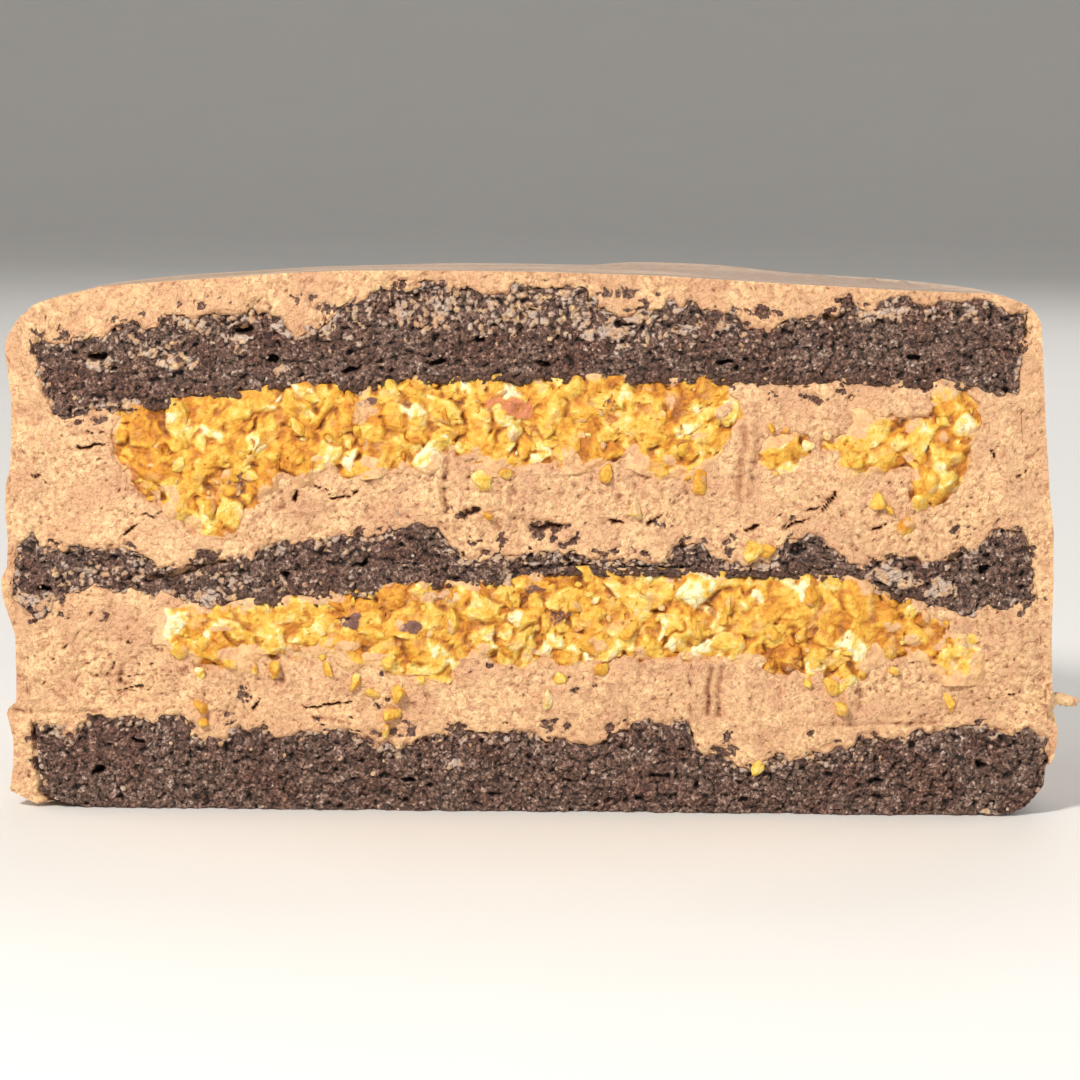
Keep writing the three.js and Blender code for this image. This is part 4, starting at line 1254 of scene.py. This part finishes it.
def crunch_front(rng, outlines, ceiling):
    """Depth and colours of the nuts and burnt sugar that fill an outline."""

    def front(x, z):
        wx, wz = x + 0.7 * noise(x, z, 2, 141), z + 0.7 * noise(x, z, 2, 142)
        near, _, pick = cells(wx, wz * 1.3, 2.4, 143)
        depth = 1.25 + 0.45 * noise(x, z, 5, 146) + 0.4 * near ** 2
        tone = 0.2 + 0.45 * pick
        for layer in NUT_LAYERS:
            stamp_nuts(rng, wx, wz, depth, tone, sprinkled(rng, outlines, ceiling, *layer))
        crisp = noise(x, z, 3.2, 151)
        sheets = np.floor(3 * crisp + 0.5 * noise(x, z, 1.1, 152)) / 3
        depth += 0.3 * sheets + 0.28 * fractal(x, z, 1.3, 153, 3)
        ragged = np.abs(noise(wx, wz, 2.1, 154)) + 0.5 * np.abs(noise(wx, wz, 0.9, 155))
        depth += 0.5 * ramp(ragged, 0.16, 0.0) * ramp(noise(x, z, 5, 159), -0.4, 0.3)
        inside = depth_in_beds(x, z) + 0.9 * noise(x, z, 1.6, 165) + 0.4 * noise(x, z, 0.7, 166)
        patches = ramp(noise(x, z, 5.5, 167) + 0.5 * noise(x, z, 1.8, 168), 0.55, 0.85)
        film = np.maximum(ramp(inside, 1.0, 0.0), 0.8 * patches)
        depth = mixed(depth, blurred(depth, 5), 0.2 + 0.4 * film) - 0.12 * film
        hollow = depth - blurred(depth, 3)
        # Painted shade and highlight: the tone falls in hollows and rises on raised bits, which darkens or
        # pales them along the nut colours
        tone = tone + 0.12 * noise(x, z, 1.6, 156) - 0.4 * np.clip(hollow, -0.4, 0.4)
        sugar, crumb = 0 * x, 0 * x
        for at_x, at_z, width, height, colour, sweet, dark in BED_FEATURES:
            core = within(wx, wz, (at_x, at_z), 0, width, height) + 0.25 * noise(x, z, 1.0, 157)
            core = ramp(core, 0.0, 0.3)
            tone = mixed(tone, colour + 0.08 * noise(x, z, 1.0, 158), core)
            sugar = mixed(sugar, sweet, core)
            crumb = mixed(crumb, dark, core)
            depth -= 0.35 * core * (1 - dark)
        # Painted shade: a darkening share for hollows, on a fine and a broad scale
        pit = np.clip(0.12 + 1.3 * hollow + 0.6 * (depth - blurred(depth, 9)), 0, 1)
        tone = np.clip(tone, 0, 1)
        return depth, {"tone": tone, "pit": pit, "sugar": sugar, "crumb": crumb, "cream": film}

    return front


def bed_piece(name, outlines, floor_points, ceiling, ends, settled, seed):
    rng = np.random.default_rng(seed)
    builder = Builder("tone", "pit", "sugar", "crumb", "cream")
    slab(builder, shifted(line(floor_points), -CRUNCH_MARGIN), shifted(ceiling, CRUNCH_MARGIN), ends, settled,
         CORE_STEP, crunch_front(rng, outlines, ceiling))
    for shape, *layer in LOOSE_LAYERS:
        add_nuts(builder, rng, shape, sprinkled(rng, outlines, ceiling, *layer))
    return builder.piece(name + "_nuts", CRUNCH, "nut_crunch", [name], 55)


def make_crunch():
    upper_floor = [
        (-70, 55), (-62, 49.5), (-57, 46), (-50, 42.8), (-46, 48), (-42, 52), (-35, 54), (-22, 55.5),
        (0, 55.5),
        (15, 57), (25, 52.5), (28, 55), (32, 61), (36, 55), (42, 54.5), (46, 58.5), (51, 54), (57, 54.5),
        (60.5, 50.5), (65, 50), (68.5, 52.5), (72, 58),
    ]
    lower_floor = [
        (-63, 25), (-50, 23), (-47, 22.5), (-30, 23.5), (-20, 21), (-15, 20.5), (-11, 24.5), (10, 23),
        (35, 24),
        (40, 21.5), (51, 19), (54, 25), (62, 26.5), (64, 22.5), (74, 22.5),
    ]
    bed_piece("crunch_upper", [UPPER_BED] + UPPER_ISLANDS, upper_floor, BORDERS["top_base"],
              ((-69, 71), (-69, 71)), (55.5, 67), 201)
    bed_piece("crunch_lower", [LOWER_BED], lower_floor, BORDERS["middle_base"],
              ((-62, 73.5), (-62, 73.5)), (24.5, 34.5), 202)


def make_strays():
    rng = np.random.default_rng(203)
    builder = Builder("tone", "pit", "sugar", "crumb", "cream")
    x, z, sizes = np.array(STRAYS).T
    tones = np.maximum(random_tones(rng, len(x)), 0.45) + 0.1 * (rng.random(len(x)) < 0.4)
    add_nuts(builder, rng, FINE_BALL, np.stack([x, 0.1 * sizes - 0.1, z, sizes, tones], -1))
    builder.piece("stray_nuts", CRUNCH, "nut_crunch")


# Loose crumbs: how many are tried, how far they lie from the middle and from the top, and their sizes
LOOSE_CRUMBS = 9000
CRUMB_REACH, CRUMB_LEVELS = 82, (1, 86)
CUT_HALF_WIDTH, BELOW_TOP = 79.5, 1.5
CRUMB_SIZES = (0.4, 1.0)


def make_crumbs():
    """Loose crumbs on the cut, thickest where a sponge tore."""
    rng = np.random.default_rng(204)
    builder = Builder("grain", "cream", "pit", "warm")
    x = rng.uniform(-CRUMB_REACH, CRUMB_REACH, LOOSE_CRUMBS)
    z = rng.uniform(*CRUMB_LEVELS, LOOSE_CRUMBS)
    on_cut = (z < line(COAT_TOP)(x) - BELOW_TOP) & (np.abs(x) < CUT_HALF_WIDTH)
    x, z = x[on_cut], z[on_cut]
    inside = depth_in_sponge(x, z)
    chance = np.where(inside > 0, 0.2, 0.25 * np.exp(inside / 0.5) + 0.0005)
    keep = rng.random(len(x)) < chance
    x, z, inside = x[keep], z[keep], inside[keep]
    depth = np.where(torn_depth(x, z) > 0, crumb_front(x, z)[0], cream_front(x, z))
    points, faces = PLAIN_BALL
    for place in zip(x, np.minimum(depth, 1.2), z):
        size = rng.uniform(*CRUMB_SIZES)
        lump = broken_nut(rng, points, rng.uniform(0.6, 1.0)) * size / 2 + place
        builder.add(lump, faces, grain=rng.random(), cream=0.0 if rng.random() < 0.8 else 1.0)
    builder.piece("loose_crumbs", SPONGE, "chocolate_sponge")


# The wisp of cream: where it starts and ends along x, its height, depth, lean and thickness
WISP_FROM, WISP_TO = 82.6, 87.6
WISP_HEIGHT, WISP_DEPTH, WISP_LEAN = 18.7, 1.6, 0.8
WISP_ROOT, WISP_TIP = 1.35, 0.8
WISP_STEPS, WISP_SIDES = 26, 14


def make_tail():
    """A wisp of cream pulled off the right end by the spatula."""
    builder = Builder("pit", "crumb", "skin")
    steps, sides = WISP_STEPS, WISP_SIDES
    share = np.linspace(0, 1, steps)[:, None]
    round_turn = np.linspace(0, 2 * math.pi, sides, endpoint=False)[None, :]
    thick = mixed(WISP_ROOT, WISP_TIP, share ** 0.8) * (1 + 0.25 * noise(share * 9, round_turn * 2, 1, 151))
    flare = 1 + 1.6 * ramp(share, 0.3, 0.0)
    x = mixed(WISP_FROM, WISP_TO, share) + 0 * round_turn + 0.3 * noise(share * 5, round_turn, 1, 152)
    z = WISP_HEIGHT + 0.25 * np.sin(share * 5) + thick * np.sin(round_turn) * flare * 0.85
    y = WISP_DEPTH + WISP_LEAN * share + thick * np.cos(round_turn) * flare
    points = np.stack([x + 0 * z, y, z], -1)
    start = builder.add(points.reshape(-1, 3), grid_faces(steps, sides, wrap=True))
    for column, at in ((0, points[0].mean(0)), (steps - 1, points[-1].mean(0) + (0.3, 0, 0.1))):
        middle = builder.add([at], [])
        first = start + column * sides
        builder.faces += fan_faces(list(range(first, first + sides)), middle)
    builder.piece("cream_wisp", CREAM_LOOK, "milk_chocolate_cream")


# Stage, camera and light

BOWL_RADIUS = 3.0
BOWL_WALL = 1.6
BOWL_BEND = 1.2
BOWL_SIDES = 96
BEND_STEPS = 12


def make_floor():
    """A pale round floor that curves up into its own backdrop."""
    profile = [(0.02, 0.0), (0.6, 0.0), (BOWL_RADIUS - BOWL_BEND, 0.0)]
    for step in range(1, BEND_STEPS + 1):
        bend = math.pi / 2 * step / BEND_STEPS
        out = BOWL_RADIUS - BOWL_BEND + BOWL_BEND * math.sin(bend)
        profile.append((out, BOWL_BEND * (1 - math.cos(bend))))
    profile.append((BOWL_RADIUS, BOWL_WALL))
    points = [(0.0, 0.0, 0.0)]
    for side in range(BOWL_SIDES):
        turn = 2 * math.pi * side / BOWL_SIDES
        points += [(r * math.cos(turn), r * math.sin(turn), h) for r, h in profile]
    faces = []
    rows = len(profile)
    for side in range(BOWL_SIDES):
        here, there = 1 + side * rows, 1 + (side + 1) % BOWL_SIDES * rows
        faces.append((0, here, there))
        faces += [(here + row, here + row + 1, there + row + 1, there + row) for row in range(rows - 1)]
    mesh = bpy.data.meshes.new("floor")
    mesh.from_pydata(points, [], faces)
    mesh.polygons.foreach_set("use_smooth", [True] * len(mesh.polygons))
    shader = Shader("floor")
    colour = shader.mix(shader.noise(60, 2), FLOOR_GREY, FLOOR_PALE)
    normal = shader.bump(shader.noise(2.0, 3), 0.05, 0.3)
    mesh.materials.append(shader.finish(colour, 0.7, normal))
    floor = bpy.data.objects.new("floor", mesh)
    bpy.context.scene.collection.objects.link(floor)


CAMERA_DISTANCE = 700.0
CAMERA_HEIGHT = 129.0
AIM_X, AIM_Z = 0.8, 44.2
VIEW_WIDTH = 172.8
CAMERA_ROLL = math.radians(0.52)


def place(x, y, z):
    return Vector((np.array([x, y, z]) + ORIGIN) * MM)


def make_camera():
    data = bpy.data.cameras.new("camera")
    camera = bpy.data.objects.new("camera", data)
    bpy.context.scene.collection.objects.link(camera)
    aim, stand = place(AIM_X, 0, AIM_Z), place(AIM_X, -CAMERA_DISTANCE, CAMERA_HEIGHT)
    away = (aim - stand).length
    data.angle = 2 * math.atan(VIEW_WIDTH * MM / 2 / away)
    data.clip_start, data.clip_end = 0.05, 20
    camera.location = stand
    camera.rotation_mode = "QUATERNION"
    roll = Quaternion((0, 0, 1), CAMERA_ROLL)
    camera.rotation_quaternion = (aim - stand).to_track_quat("-Z", "Y") @ roll
    bpy.context.scene.camera = camera


def make_light(name, stand, size, watts, colour):
    data = bpy.data.lights.new(name, "AREA")
    data.shape = "DISK"
    data.size = size
    data.energy = watts
    data.color = colour
    light = bpy.data.objects.new(name, data)
    bpy.context.scene.collection.objects.link(light)
    light.location = place(*stand)
    light.rotation_mode = "QUATERNION"
    light.rotation_quaternion = (place(0, 20, 45) - light.location).to_track_quat("-Z", "Y")


# Name, place in millimetres, width in metres, watts and colour of each light
DAYLIGHT = (1.0, 0.98, 0.96)
LIGHTS = [
    ("key", (-400, -780, 720), 0.2, 12.2, (1.0, 0.96, 0.90)),
    ("fill", (700, -800, 420), 0.8, 2.2, (1.0, 0.98, 0.95)),
    ("back", (150, 1000, 700), 0.9, 3.2, DAYLIGHT),
    ("right", (1000, 350, 520), 0.8, 3.0, DAYLIGHT),
    ("left", (-1000, 350, 520), 0.8, 3.0, DAYLIGHT),
]
WORLD_LIGHT = 0.27


def make_lights():
    for light in LIGHTS:
        make_light(*light)
    world = bpy.data.worlds.new("studio")
    world.use_nodes = True
    background = world.node_tree.nodes["Background"]
    background.inputs["Color"].default_value = (*DAYLIGHT, 1)
    background.inputs["Strength"].default_value = WORLD_LIGHT
    bpy.context.scene.world = world
    bpy.context.scene.view_settings.view_transform = "Standard"


CREAM_LOOK = cream_material()
SPONGE = sponge_material()
CRUNCH = crunch_material()

make_camera()
make_sponges()
make_fillings()
make_coat()
make_crunch()
make_strays()
make_crumbs()
make_tail()
make_floor()
make_lights()
